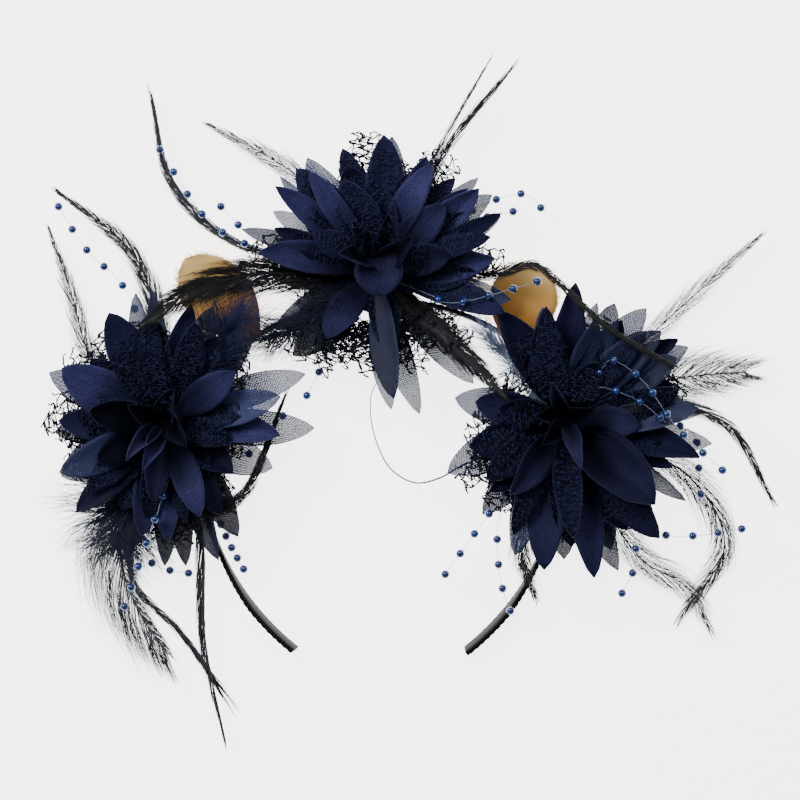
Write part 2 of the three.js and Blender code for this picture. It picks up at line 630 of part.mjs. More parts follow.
// Height between the two layers that a gap lies between, at a distance from the flower's axis
function slotHeight(root, radius) {
  const outer = bowlHeight(LAYERS.outer, radius);
  if (root === "low") return SLOT.low + (bowlHeight(LAYERS.lace, radius) + outer) / 2;
  return SLOT.high + outer + Math.min(SLOT.highRise, (bowlHeight(LAYERS.middle, radius) - outer) / 2);
}

// The line of a strand from its root. In a gap it keeps between the layers until it is clear of them
function strandLine({ flower, azimuth, root, height }, { via, tip }) {
  const { x, y, pad } = FLOWERS[flower];
  const given = [...via, tip].map((p) => new THREE.Vector3(...p));
  const onRim = root === "rim";
  const radius = onRim ? STRAND_ROOT.rim : STRAND_ROOT.hub;
  const angle = radians(azimuth);
  const start = new THREE.Vector3(
    x + radius * Math.cos(angle),
    y + radius * Math.sin(angle),
    padFoot + (onRim ? height : pad + slotHeight(root, radius)),
  );
  const between = onRim ? [] : SLOT.stops.map((stop) => {
    const toFirst = given[0].clone().sub(start).setZ(0);
    const share = (stop - radius) / toFirst.length();
    const p = start.clone().addScaledVector(toFirst, share);
    p.setZ(padFoot + pad + slotHeight(root, Math.hypot(p.x - x, p.y - y)));
    return share < SLOT.lastStop ? p : null;
  }).filter(Boolean);
  return new THREE.CatmullRomCurve3([start, ...between, ...given], false, "centripetal");
}

// A feather's outer form: a thin vane that lies flat along its quill
function vaneGeometry(line, halfWidthAt) {
  const [points, normals] = [[], []];
  for (let i = 0; i <= FEATHER.rows; i++) {
    const share = i / FEATHER.rows;
    const p = line.getPointAt(share);
    const tangent = line.getTangentAt(share);
    const sideways = new THREE.Vector3(-tangent.y, tangent.x, 0).normalize();
    const normal = new THREE.Vector3().crossVectors(tangent, sideways).normalize();
    const half = halfWidthAt(share);
    points.push([-half, half].map((w) => p.clone().addScaledVector(sideways, w)));
    normals.push([normal, normal]);
  }
  return wall(points, normals, CLOTH);
}

function featherGeometry(row) {
  const [rootWidth, fullWidth, tipWidth] = row.widths;
  const { fullest } = FEATHER;
  const halfWidthAt = (share) => (share < fullest
    ? THREE.MathUtils.lerp(rootWidth, fullWidth, Math.sin((share / fullest) * Math.PI / 2))
    : THREE.MathUtils.lerp(fullWidth, tipWidth, (share - fullest) / (1 - fullest))) / 2;
  return vaneGeometry(strandLine(row, row), halfWidthAt);
}

function tanFeatherGeometry({ root, tip, width, rise }) {
  const z = padFoot + CLOTH / 2;
  const start = new THREE.Vector3(...root, z);
  const end = new THREE.Vector3(...tip, z + rise);
  const { rootShare, fullest, rootSpan, endSpan } = TAN_FEATHER;
  const halfWidthAt = (share) => {
    const off = (share - fullest) / (share < fullest ? rootSpan : endSpan);
    return (width / 2) * Math.max(rootShare, Math.sqrt(Math.max(0, 1 - off * off)));
  };
  return vaneGeometry(new THREE.LineCurve3(start, end), halfWidthAt);
}

// A string of beads in one solid: a thin round thread that swells to a bead at each pitch from the free end
function stringGeometry(line) {
  const length = line.getLength();
  const { radius, thread, flat, pitch, rootClear, sides } = BEAD;
  const swell = [[-1, thread], [-flat, radius], [flat, radius], [1, thread]];
  const beads = [];
  for (let along = length - 2 * radius; along > rootClear; along -= pitch) beads.unshift(along);
  const stations = beads.flatMap((along) => swell.map(([share, r]) => [along + share * radius, r]));
  stations.unshift([0, thread], [beads[0] / 2, thread]);
  stations.push([length, thread]);
  const frames = stations.map(([along, r]) => {
    const tangent = line.getTangentAt(along / length);
    const sideways = new THREE.Vector3(-tangent.y, tangent.x, 0).normalize();
    const up = new THREE.Vector3().crossVectors(tangent, sideways);
    return { p: line.getPointAt(along / length), r, sideways, up };
  });
  const vertices = frames.flatMap(({ p, r, sideways, up }) => [...Array(sides).keys()].map((k) => {
    const turn = (k / sides) * 2 * Math.PI;
    return p.clone().addScaledVector(sideways, r * Math.cos(turn)).addScaledVector(up, r * Math.sin(turn));
  }));
  const triangles = [];
  for (let i = 0; i + 1 < frames.length; i++) {
    for (let k = 0; k < sides; k++) {
      const [a, b] = [i * sides + k, i * sides + ((k + 1) % sides)];
      triangles.push([a, b, b + sides], [a, b + sides, a + sides]);
    }
  }
  const end = (frames.length - 1) * sides;
  for (let k = 1; k + 1 < sides; k++) triangles.push([0, k + 1, k], [end, end + k, end + k + 1]);
  return geometryOf(vertices, triangles);
}

// A spray: its first string leaves the flower, and any other one branches off the first
function sprayGeometry(row) {
  const [first, ...others] = row.strings;
  const main = strandLine(row, first);
  const branches = others.map(({ from, via, tip }) => {
    const points = [main.getPointAt(from), ...[...via, tip].map((p) => new THREE.Vector3(...p))];
    return new THREE.CatmullRomCurve3(points, false, "centripetal");
  });
  if (!branches.length) return stringGeometry(main);
  return united([main, ...branches].map(stringGeometry));
}

// Assembly

const materials = Object.fromEntries(
  Object.entries(COLOURS).map(([name, look]) => [name, new THREE.MeshStandardMaterial(look)]),
);

function meshOf(name, geometry, material) {
  const mesh = new THREE.Mesh(geometry, materials[material]);
  mesh.name = name;
  return mesh;
}

const headband = new THREE.Group();
headband.add(meshOf("band", bandGeometry(), "ribbon"));

const LAYER_MATERIAL = {
  organza: "organza", lace: "lace", outer: "satin", middle: "satin", inner: "satin",
};
const BACK_LAYERS = ["organza", "lace", "outer"];
const FRONT_LAYERS = ["middle", "inner"];
const FRONT_LIFT = 2.6; // raises a leaning front clear of the hub below it

for (const [side, { x, y, pad, lean }] of Object.entries(FLOWERS)) {
  const flower = new THREE.Group();
  flower.position.set(x, y, padFoot);
  flower.add(meshOf(`${side}_pad`, padGeometry(pad), "felt"));
  const back = new THREE.Group();
  back.position.z = pad;
  BACK_LAYERS.forEach((name) =>
    back.add(meshOf(`${side}_${name}_petals`, layerGeometry(side, name), LAYER_MATERIAL[name])));
  const front = new THREE.Group();
  front.position.z = pad + (lean ? FRONT_LIFT : 0);
  front.rotation.x = -radians(lean);
  FRONT_LAYERS.forEach((name) =>
    front.add(meshOf(`${side}_${name}_petals`, layerGeometry(side, name), LAYER_MATERIAL[name])));
  flower.add(back, front);
  headband.add(flower);
}

VANES.forEach((row) =>
  headband.add(meshOf(row.name, featherGeometry(row), row.name.endsWith("_down") ? "down" : "feather")));
TAN_FEATHERS.forEach((row) => headband.add(meshOf(row.name, tanFeatherGeometry(row), "tan")));
SPRAYS.forEach((row) => headband.add(meshOf(row.name, sprayGeometry(row), "bead")));

export default headband;
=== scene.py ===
import math
from collections import namedtuple
from functools import partial

import bmesh
import bpy
import numpy as np
from mathutils import Matrix, Vector


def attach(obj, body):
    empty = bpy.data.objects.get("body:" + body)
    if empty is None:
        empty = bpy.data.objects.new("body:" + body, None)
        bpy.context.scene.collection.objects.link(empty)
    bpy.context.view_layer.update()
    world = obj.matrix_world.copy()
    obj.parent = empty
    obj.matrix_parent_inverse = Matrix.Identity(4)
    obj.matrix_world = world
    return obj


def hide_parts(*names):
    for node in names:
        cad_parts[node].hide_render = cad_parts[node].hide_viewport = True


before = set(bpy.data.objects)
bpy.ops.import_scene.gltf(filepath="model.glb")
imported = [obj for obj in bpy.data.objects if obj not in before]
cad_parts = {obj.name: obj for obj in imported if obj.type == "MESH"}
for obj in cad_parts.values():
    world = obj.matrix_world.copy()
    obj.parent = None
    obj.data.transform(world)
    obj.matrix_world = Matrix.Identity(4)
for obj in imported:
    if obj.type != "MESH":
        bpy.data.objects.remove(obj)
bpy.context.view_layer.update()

MM = 0.001
ROOT = "root"

# Sizes in millimetres. They are those of the CAD model, apart from the beads' radius, which is 0.1 mm more
# because the bright floor eats into their edge
GAP = 0.3
BAND_HEIGHT, BAND_THICKNESS, BAND_LEAN = 5, 1.8, 1.9
BAND_HALF_WIDTH, CROWN_DROP, ARM_RADIUS, ARM_DROP = 69, 52, 98.8, 77.5
PAD_RADIUS = 15
PAD_FOOT = BAND_HEIGHT + GAP  # height of the pads' underside
BEAD_RADIUS, BEAD_PITCH = 1.6, 9.5
# Strands are rooted at the pad's rim, or in the gap below or above the outer petals
ROOT_RADIUS = {"rim": PAD_RADIUS + GAP + 0.1, "low": 5.5, "high": 5.5}
SLOT_HEIGHT = {"low": 3.7, "high": 6.9}
SLOT_STOPS = (13, 21, 30)  # distances from the axis where a strand in a gap is held to it
SPREAD_REACH = 50  # reach at which a petal has all of its layer's bend
FRONT_LIFT = 2.6  # raises a leaning front clear of the hub below it

# Flowers: place, thickness of the pad, and how far the front leans back in degrees
Flower = namedtuple("Flower", "x y pad lean")
FLOWERS = {
    "left": Flower(-80, -45, 3, 0),
    "top": Flower(-1, 10, 6, 12),
    "right": Flower(67, -44, 3, 0),
}

# A layer of petals: height of its foot above the pad, radius of its hub, how steeply petals leave
# and end in degrees, and where they start
Layer = namedtuple("Layer", "foot hub root_rise tip_rise start")
LAYERS = {
    "organza": Layer(0.3, 6.5, 8, -1, 4.5),
    "lace": Layer(1.6, 6.5, 12, 6, 4.5),
    "outer": Layer(4.8, 6.5, 21, 8, 4.5),
    "middle": Layer(8.0, 6.5, 36, 14, 5),
    "inner": Layer(9.3, 4, 72, 48, 2.8),
}
FRONT = ("middle", "inner")  # layers that lean with the flower

RUFFLE = Layer(7.0, 6.5, 26, 8, 5)  # lacy petals between the outer and the middle layer
SHEER = Layer(6.4, 6.5, 24, 12, 5)  # organza petals over the outer layer

# Petals: azimuth in degrees, reach and width in millimetres, brightness of the cloth, which on satin is
# painted light and shade, how far along the petal the net that is laid over it reaches, and a stance unlike
# its layer's. On organza the brightness is how close the weave is: about 0.95 is pale, 1.1 is middling and
# 1.2 or more is dark
Petal = namedtuple("Petal", "azimuth reach width tone net stance", defaults=(1.0, 0.0, None))
PETALS = {key: [Petal(*row) for row in rows] for key, rows in {
    ("left", "organza"): [
        (160, 46.5, 14, 1.08), (185, 41, 13, 1.17), (208, 43.5, 17, 1.08), (232, 40, 13, 1.17),
        (110, 49, 9, 1.17), (95, 49, 8, 1.17), (66, 46, 13, 1.25), (22, 55, 12, 0.95),
        (-5, 55.5, 14, 0.95), (-28, 43.5, 15, 0.95), (-55, 50.5, 13, 1.45), (-71, 55, 10, 1.5),
        (-80, 54, 10, 1.5), (-88, 53.5, 10, 1.5), (48, 45, 13, 1.25), (-100, 46, 13, 1.25),
        (8, 44, 13, 1.1, 0, SHEER), (210, 42, 13, 1.14, 0, SHEER),
    ],
    ("left", "lace"): [
        (128, 41, 20), (150, 45, 18), (175, 46, 20), (208, 41, 22), (238, 37, 20),
        (-95, 44, 18), (-58, 42, 20), (-26, 31, 20), (8, 34, 20), (36, 42, 20),
        (64, 42, 20), (98, 40, 20), (48, 48, 18), (-78, 50, 14),
    ],
    ("left", "outer"): [
        (157, 42, 17.5, 1.2), (184, 38.5, 13, 0.6), (207, 34, 14, 0.5, 0.7),
        (231, 46, 13, 0.45, 0.55), (118, 44.5, 16, 0.9, 0.78), (81, 44.5, 11, 1.0),
        (52, 38, 13, 0.4, 0.85), (-1, 43.5, 12, 1.8, 0.55), (-36, 32, 13, 0.5, 0.7),
        (-58, 40, 12, 0.5, 0.6), (-88, 43.5, 12, 0.75), (-103, 42.5, 12, 0.65),
    ],
    ("left", "middle"): [
        (32, 32.5, 12, 0.95), (-64, 37, 11, 0.95), (100, 27, 12, 0.45, 0.9),
        (172, 27, 12, 0.1), (216, 28, 12, 0.1), (-98, 29, 9, 0.4), (-18, 26, 11, 0.4, 0.95),
        (103, 39, 9, 0.6, 1, RUFFLE), (64, 39, 12, 0.6, 1, RUFFLE), (12, 31, 12, 0.6, 1, RUFFLE),
        (-78, 38, 8, 0.5, 1, RUFFLE), (220, 38, 11, 0.5, 1, RUFFLE),
    ],
    ("left", "inner"): [
        (247, 18, 7, 0.85), (226, 18, 7, 0.75), (62, 13, 9, 0.2, 0.9), (150, 13, 9, 0.12),
        (-35, 13, 8, 0.12),
    ],
    ("top", "organza"): [
        (141, 51, 7, 1.08), (150, 45, 10, 0.95), (161, 53, 8, 1.17), (126, 50, 14, 1.08),
        (82, 50.5, 14, 1.17), (45, 51, 8, 1.08), (35, 51, 12, 1.08), (20, 50, 9, 1.08),
        (-15, 50, 12, 1.08), (-49, 54, 12, 0.95), (-78, 54.5, 11, 0.95), (-91, 51, 9, 0.95),
        (228, 44, 14, 1.25), (184, 40, 11, 1.08),
        (210, 43, 13, 1.25), (-86, 47, 11.5, 1.4, 0, SHEER),
    ],
    ("top", "lace"): [
        (100, 53, 18), (76, 44, 18), (64, 54, 18), (34, 40, 16), (9, 49, 14),
        (-42, 45, 14), (-74, 33, 18), (-100, 40, 16), (-121, 37, 16), (174, 50, 13),
        (200, 33, 16), (131, 40, 20), (225, 46, 18), (242, 44, 18), (-62, 42, 16),
        (-84, 36, 16),
    ],
    ("top", "outer"): [
        (84, 50, 15.5, 1.0, 0.95), (62, 46, 11.5, 0.75), (45, 45, 9, 0.7, 0.3),
        (36, 48, 13, 1.0, 0.25), (22, 50, 8.5, 0.7, 0.7), (4, 43, 12.5, 0.9, 0.4),
        (-13, 49, 11.5, 0.9, 0.8), (124, 48, 16, 1.0, 0.95), (138, 49, 10, 0.9, 0.4),
        (153, 41, 9, 0.7, 0.7), (165, 44.5, 12, 0.8), (226, 31, 13, 0.6),
        (-86, 30, 12, 0.5, 0.95),
    ],
    ("top", "middle"): [
        (66, 40, 11.5, 1.0), (131, 41, 9, 1.0), (110, 32, 16, 0.7, 1), (88, 28, 13, 0.6, 1),
        (38, 32, 13, 0.7, 0.4), (8, 26, 12, 0.5, 0.7), (153, 26, 10, 0.7, 1),
        (104, 44, 11, 0.7, 1, RUFFLE), (52, 42, 9, 0.6, 1, RUFFLE), (12, 42, 9, 0.6, 1, RUFFLE),
    ],
    ("top", "inner"): [
        (80, 15, 9, 0.35, 0.9), (125, 15, 9, 0.35, 1), (28, 14, 9, 0.25), (185, 14, 9, 0.25),
        (-84, 13, 18, 0.55, 0, Layer(15.5, 4, 14, -12, -7)),
    ],
    ("right", "organza"): [
        (74, 45, 8, 1.08), (57, 51.5, 14, 1.08), (33, 54, 13, 1.08), (1, 53, 9, 1.08),
        (-12.5, 56.5, 12, 0.95), (-33.5, 55, 8, 1.17), (-46, 49.5, 11, 1.17), (-76, 60, 12, 1.17),
        (-114, 53.5, 13, 1.08), (201, 47, 16, 1.02), (170, 40.5, 14, 1.02), (102, 42, 11, 1.08),
        (-90, 52, 14, 1.25), (-64, 52, 14, 1.25), (-128, 46, 13, 1.2),
        (68, 46, 14, 1.2, 0, SHEER), (47, 48, 14, 1.22, 0, SHEER), (28, 47, 14, 1.2, 0, SHEER),
        (0, 49, 13, 1.17, 0, SHEER),
    ],
    ("right", "lace"): [
        (192, 38, 20), (231, 43, 18), (258, 38, 20), (-87, 47, 16), (-54, 52, 15),
        (-22, 40, 20), (11, 48, 18), (36, 44, 18), (60, 42, 18), (84, 40, 18),
        (108, 35, 18), (152, 30, 18), (213, 46, 16),
    ],
    ("right", "outer"): [
        (118, 46.5, 15, 0.8, 0.72), (88, 50, 12.5, 0.8, 0.5), (60, 42, 14, 0.6, 0.8),
        (39.5, 51, 11, 0.7, 0.6), (24, 43, 12, 0.6, 0.6), (-12, 52, 13, 0.9, 0.7),
        (-25, 44, 8, 0.7), (-54, 56, 15, 0.9, 0.9), (-76, 59, 13, 0.85, 0.4),
        (-103, 56, 15, 0.8, 0.45), (-135, 38, 12, 0.5, 0.7), (200, 36, 14, 0.6, 0.9),
        (170, 33, 13, 0.9, 0.3),
    ],
    ("right", "middle"): [
        (-4, 28, 12, 0.8), (-43, 45, 20, 0.6), (-86, 43, 11, 0.8, 0.95), (-122, 34, 12, 0.75),
        (172, 24, 11, 0.5, 0.9), (62, 24, 13, 0.4, 0.9), (106, 29, 14, 0.6, 1),
        (103, 42, 10, 0.6, 1, RUFFLE), (48, 44, 11, 0.6, 1, RUFFLE), (8, 44, 12, 0.6, 1, RUFFLE),
        (-118, 46, 10, 0.5, 1, RUFFLE), (216, 36, 12, 0.5, 1, RUFFLE),
    ],
    ("right", "inner"): [
        (104, 14, 6, 0.95), (-62, 19, 6.5, 0.95), (232, 12, 8, 0.2), (20, 12, 9, 0.15),
        (160, 11, 9, 0.15),
    ],
}.items()}

# Feathers: named for their flower, with the azimuth and place of the root, its height, the places passed,
# the tip, the widths at the root, the fullest place and the tip, how often barbs cover the vane over, their
# angle to the quill, their radius, how ragged they are, the quill's radius, how pale they are, and how much
# wider the vane is on the left of its way than on the right
Feather = namedtuple("Feather", "name azimuth root height via tip widths cover angle barb ragged quill tone"
                     " lopsided", defaults=(0.0,))
FEATHERS = [
    Feather("left_feather_long", 88, "rim", 0.9, [(-91, 15.5, 5.5)], (-121.5, 41.5, 4.5),
            (12, 8, 1.5), 3.4, 14, 0.085, 0.4, 0.45, 0.5),
    Feather("left_feather_thin", 140, "rim", 2.4, [(-108, -20, 7), (-115, 2, 6)], (-124, 28, 5),
            (12, 8, 1.2), 2.2, 15, 0.079, 0.45, 0.3, 1.0),
    Feather("left_feather_strands", 250, "rim", 0.6, [(-93, -103, 2.4), (-74.5, -124, 1.9)],
            (-60.5, -144, 1.6), (3, 3.2, 3.5), 4.5, 7, 0.12, 0.45, 0.45, 0.35),
    Feather("left_feather_hanging", -74, "rim", 2.4, [(-67, -85, 7.6), (-65.5, -126, 6.4)],
            (-57.7, -165, 4), (3.2, 4, 0.8), 5, 8, 0.093, 0.3, 0.6, 0.6, -0.6),
    Feather("left_feather_front", -68, "low", 0, [(-67, -77, 17.5), (-52, -73, 18.5)], (-34.8, -34.5, 20),
            (14, 5, 1.4), 5, 11, 0.1, 0.4, 0.5, 0.1),
    Feather("top_feather_curved", 168, "rim", 0.7, [(-54, 22, 6), (-77, 43, 5.6)], (-85.5, 77, 5.5),
            (1.2, 5, 1.6), 5, 9, 0.093, 0.35, 0.4, 0.9, 0.3),
    Feather("top_feather_wispy", 131, "rim", 1.4, [(-31, 46, 6.4)], (-65.5, 66, 6),
            (18, 10, 1.6), 1.8, 18, 0.072, 0.45, 0.25, 1.3),
    Feather("top_feather_fine", 66, "rim", 0.7, [(23, 59, 6)], (40.7, 90, 6),
            (4, 3, 1), 2, 6, 0.1, 0.6, 0.22, 0.6),
    Feather("top_feather_upright", 56, "rim", 4, [(24.8, 57, 9.6)], (49, 86.5, 10),
            (6, 4, 1.4), 3, 6, 0.12, 0.5, 0.3, 0.3),
    Feather("top_feather_left", 182, "low", 0, [(-44.8, 9.3, 22), (-67, 3.7, 28.5)], (-87, -9.3, 31.5),
            (15, 16, 2), 5.5, 17, 0.11, 0.4, 0.5, 0.1),
    Feather("top_feather_arched", -2, "low", 0, [(44, 9.6, 22.5), (56, 12.2, 26), (81, -9.3, 31.5)],
            (105, -24, 32.5), (12, 4, 3), 4, 13, 0.093, 0.45, 0.4, 0.1),
    Feather("top_feather_dark", -47, "low", 0, [(27.4, -16.7, 21)], (46, -36.5, 28),
            (9, 11, 1.6), 6, 19, 0.11, 0.35, 0.4, 0.15),
    Feather("right_feather_high", 44, "rim", 1.4, [(104, -9.3, 6.4)], (142, 25, 6),
            (10, 10, 1.4), 1.6, 13, 0.072, 0.5, 0.3, 1.2),
    Feather("right_feather_fan", 24, "rim", 1.4, [(110.5, -29, 6.4)], (136, -26.5, 6),
            (20, 24, 12), 2.2, 34, 0.085, 0.4, 0.3, 0.6),
    Feather("right_feather_front", 20, "high", 0, [(101.5, -37, 24), (127, -46, 22)], (145, -74.5, 12),
            (7, 6, 2), 3.5, 10, 0.093, 0.45, 0.45, 0.25),
    Feather("right_feather_hook", -25, "rim", 0.7, [(114, -65, 2.4), (128, -90.5, 1.8)], (111, -119, 1.6),
            (15, 14, 2.4), 2.2, 13, 0.085, 0.5, 0.45, 0.6),
    Feather("right_feather_low", -66, "rim", 2.4, [(96, -95.5, 7), (114.3, -107.3, 5.8)], (122.5, -123, 5),
            (15, 14, 2.4), 1.8, 13, 0.079, 0.5, 0.4, 0.8),
    Feather("right_feather_short", -108, "rim", 1.6, [(52, -94, 6.6)], (57.7, -111, 6.2),
            (10, 10, 2), 2.8, 16, 0.093, 0.5, 0.4, 0.3),
    Feather("left_plume", 242, "rim", 2.4, [(-96.5, -91, 7), (-92.5, -110.5, 6.6)], (-79, -132, 6.2),
            (26, 22, 7), 2.7, 24, 0.072, 0.3, 0.5, 0.8, -0.45),
]

# Down: as the feathers, with the number of hairs, their length, the angles they lean at and their dye
Down = namedtuple("Down", "name azimuth root height via tip widths hairs length lean dye tone")
DOWNS = [
    Down("left_down", 54, "low", 0, [(-64, -23, 16.4)], (-52, -5, 20.6),
         (8, 16, 15), 1700, 25, (15, 70), "blue", 0.7),
    Down("top_down", 213, "low", 0, [(-27, -9, 19.4)], (-43, -14.5, 21.5),
         (8, 12, 9), 1500, 21, (15, 60), "blue", 0.3),
    Down("right_down", 132, "low", 0, [(50, -24, 17)], (39.5, -13.5, 20.5),
         (8, 11, 10), 800, 18, (6, 34), "pale", 0.8),
]

# Tan feathers on the band: root, tip, width and how far the tip stands above the root
TanFeather = namedtuple("TanFeather", "name root tip width rise")
TAN_FEATHERS = [
    TanFeather("left_tan_feather", (-46.6, -13.7), (-73, 15.5), 25, 1.6),
    TanFeather("right_tan_feather", (46.6, -13.7), (58.5, 13.5), 25, 1.6),
]

# Sprays of beads: the root as for feathers, then strings of (share of the first string that it leaves from,
# places passed, tip, and the pitch of its beads where it isn't the usual one)
Spray = namedtuple("Spray", "name azimuth root height strings")
SPRAYS = [
    Spray("left_beads_top", 102, "rim", 1.5, [(0, [(-95, 4, 7.4), (-109.5, 19, 8.2)], (-121.2, 37.2, 9))]),
    Spray("left_beads_front", -80, "high", 0,
          [(0, [(-77.5, -63, 21.4), (-86, -90, 28.5)], (-95.5, -115.5, 14))]),
    Spray("left_beads_low", 263, "rim", 1.5, [(0, [(-86, -96.5, 7)], (-68.5, -102, 6.8), 7.3)]),
    Spray("left_beads_arm", -48, "rim", 1.5, [(0, [(-57.6, -87.5, 7.2)], (-49.5, -102.5, 7), 4.7)]),
    Spray("left_beads_side", -30, "rim", 1.5, [(0, [(-51.4, -58, 7)], (-34.5, -40.5, 7.4))]),
    Spray("top_beads_left", 170, "rim", 4.4, [
        (0, [(-42, 18, 9.7), (-62.5, 28, 9.6)], (-83.5, 58, 9.6)),
        (0.3, [(-52, 27, 9.8)], (-61.5, 37, 9.8)),
    ]),
    Spray("top_beads_right", 30, "rim", 3.4, [
        (0, [(36, 34.5, 9), (54, 39.2, 9)], (61, 32, 9)),
        (0.3, [(37, 30.5, 8.8)], (52, 33.5, 8.8)),
    ]),
    Spray("top_beads_front", -27, "high", 0, [(0, [(25, -1.5, 28), (46, 3, 29.5)], (60, 7.2, 31.5))]),
    Spray("top_beads_low", -120, "rim", 3, [(0, [(-18, -17.5, 8.3)], (-29, -38, 7.6))]),
    Spray("right_beads_top", 52, "high", 0, [
        (0, [(84, -22.5, 28.5), (94.5, -28.8, 30.5), (108.5, -47.5, 31.5)], (127, -64.5, 27)),
        (0.12, [(84, -33, 26.5), (95, -37.8, 28.5)], (104.3, -45.4, 29)),
    ]),
    Spray("right_beads_side", -3, "rim", 1.5,
          [(0, [(115, -48.5, 6.8), (118, -62, 6.6)], (119, -75, 6))]),
    Spray("right_beads_low", -57, "low", 0, [
        (0, [(103, -86, 21.5), (114, -87, 20.5)], (136, -84, 18)),
        (0.3, [(94, -95, 18.5)], (88, -111, 12)),
    ]),
    Spray("right_beads_arm", -127, "low", 0, [
        (0, [(42, -76, 18)], (22, -104, 10)),
        (0.4, [(43, -84, 17.5), (44.5, -105, 12)], (49, -118, 9)),
    ]),
]


# Material helpers

def linear(hex_colour):
    """Turns an sRGB hex colour into linear red, green, blue and alpha."""
    parts = [int(hex_colour[i:i + 2], 16) / 255 for i in (1, 3, 5)]
    return tuple(c / 12.92 if c <= 0.04045 else ((c + 0.055) / 1.055) ** 2.4 for c in parts) + (1.0,)


def wire(node, inputs):
    """Sets a node's inputs. Each is a value, a socket to link, or a node whose first output is linked."""
    for socket, value in inputs.items():
        if isinstance(value, bpy.types.Node):
            value = value.outputs[0]
        if isinstance(value, bpy.types.NodeSocket):
            node.id_data.links.new(value, node.inputs[socket])
        else:
            node.inputs[socket].default_value = value


def add_node(material, kind, inputs=None, **settings):
    """Adds a shader node with its settings and inputs."""
    made = material.node_tree.nodes.new("ShaderNode" + kind)
    for name, value in settings.items():
        setattr(made, name, value)
    wire(made, inputs or {})
    return made


def new_material(name):
    """A new material, its shader, and the function that adds nodes to it."""
    material = bpy.data.materials.new(name)
    material.use_nodes = True
    return material, material.node_tree.nodes["Principled BSDF"], partial(add_node, material)


# Map Range takes its two limits as 1 and 2 and gives back 3 to 4. Mix takes its two colours as 6 and 7
WAVE_LENGTH = 2 * math.pi / 20  # of Blender's wave texture at scale 1


def scale_of(size):
    """The scale of a pattern on Object coordinates, from the size of its spots in millimetres."""
    return 1 / (size * MM)


def on_piece(node):
    """A flat piece's UV, its axes from root to tip and edge to edge, and the distance from its middle."""
    uv = node("TexCoord").outputs["UV"]
    axes = node("SeparateXYZ", {0: uv})
    across = node("Math", {0: axes.outputs["Y"], 1: 0.5}, operation="SUBTRACT")
    aside = node("Math", {0: across}, operation="ABSOLUTE")
    return uv, axes, aside


def set_stops(ramp, stops):
    """Gives a colour ramp its stops of (position, colour)."""
    elements = ramp.color_ramp.elements
    for element, (position, shade) in zip(elements, (stops[0], stops[-1])):
        element.position = position
        element.color = linear(shade)
    for position, shade in stops[1:-1]:
        elements.new(position).color = linear(shade)


def mottled(name, size, detail, shades, finish, relief=None):
    """A material mottled between two shades, and its relief of (strength, depth in millimetres).

    The real grain and fuzz are finer, and the spots are drawn at a size in millimetres that shows."""
    material, shader, node = new_material(name)
    spot = node("TexCoord").outputs["Object"]
    spots = node("TexNoise", {"Vector": spot, "Scale": scale_of(size), "Detail": detail})
    dark, pale = map(linear, shades)
    colour = node("Mix", {0: spots, 6: dark, 7: pale}, data_type="RGBA")
    wire(shader, {"Base Color": colour.outputs[2], **finish})
    if relief:
        strength, depth = relief
        bump = node("Bump", {"Height": spots, "Strength": strength, "Distance": depth * MM})
        wire(shader, {"Normal": bump})
    return material


def satin_material():
    """Polyester satin, woven flat and heat-cut: a soft sheen along the petal painted as streaks, painted
    shade towards the root, and a pale melted edge that is partly a painted highlight.
    """
    material, shader, node = new_material("navy_satin")
    uv, axes, aside = on_piece(node)
    tone = node("Attribute", attribute_name="tone").outputs["Fac"]
    # Threads of about 0.1 mm run along a petal of 42 by 16.1 mm. They are drawn as streaks of 14 by 0.35 mm,
    # which are painted sheen, and as a grain of 0.7 mm, so that they show
    petal_length, petal_width = 42, 16.1
    streak_length, streak_width = 14, 0.35
    grain_size, cloud_size = 0.667, 11.1
    streaks = (petal_length / streak_length, petal_width / streak_width, 1.0)
    stretched = node("Mapping", {0: uv, "Scale": streaks})
    threads = node("TexNoise", {"Vector": stretched, "Scale": 1.0, "Detail": 2.0})
    spot = node("TexCoord").outputs["Object"]
    cloud = node("TexNoise", {"Vector": spot, "Scale": scale_of(cloud_size)})
    # Painted shade: the colour darkens from near the tip to the petal's root, where the flower's middle lies
    # in shade
    depth = node("ValToRGB", {0: axes.outputs["X"]})
    set_stops(depth, ((0.03, "#080919"), (0.35, "#191930"), (0.72, "#2d2d52"), (1.0, "#27274a")))
    # The ramp is scaled by the petal's tone, which holds its painted light and shade
    lit = node("VectorMath", {0: depth, "Scale": tone}, operation="SCALE")
    # Painted sheen: light and dark streaks along the threads
    sheen_streak = node("MapRange", {0: threads, 1: 0.3, 2: 0.7, 3: 0.65, 4: 1.35})
    grain = node("TexNoise", {"Vector": spot, "Scale": scale_of(grain_size), "Detail": 1.0})
    weave = node("MapRange", {0: grain, 1: 0.3, 2: 0.7, 3: 0.7, 4: 1.3})
    uneven = node("Math", {0: sheen_streak, 1: weave}, operation="MULTIPLY")
    sheen_streaked = node("VectorMath", {0: lit, "Scale": uneven}, operation="SCALE")
    # The pale edge is partly the melted edge and partly a painted highlight
    edge = node("MapRange", {0: aside, 1: 0.47, 2: 0.5, 3: 0.0, 4: 0.07})
    coloured = node("Mix", {0: edge, 6: sheen_streaked, 7: linear("#464e78")}, data_type="RGBA")
    bump = node("Bump", {"Height": threads, "Strength": 0.35, "Distance": 0.3 * MM})
    rough = node("MapRange", {0: cloud, 3: 0.42, 4: 0.62})
    wire(shader, {
        "Base Color": coloured.outputs[2], "Roughness": rough, "Normal": bump, "Sheen Weight": 0.2,
        "Sheen Roughness": 0.4, "Sheen Tint": linear("#7d7fa8"), "Specular IOR Level": 0.12,
        "Specular Tint": linear("#8f9ad0"),
    })
    return material


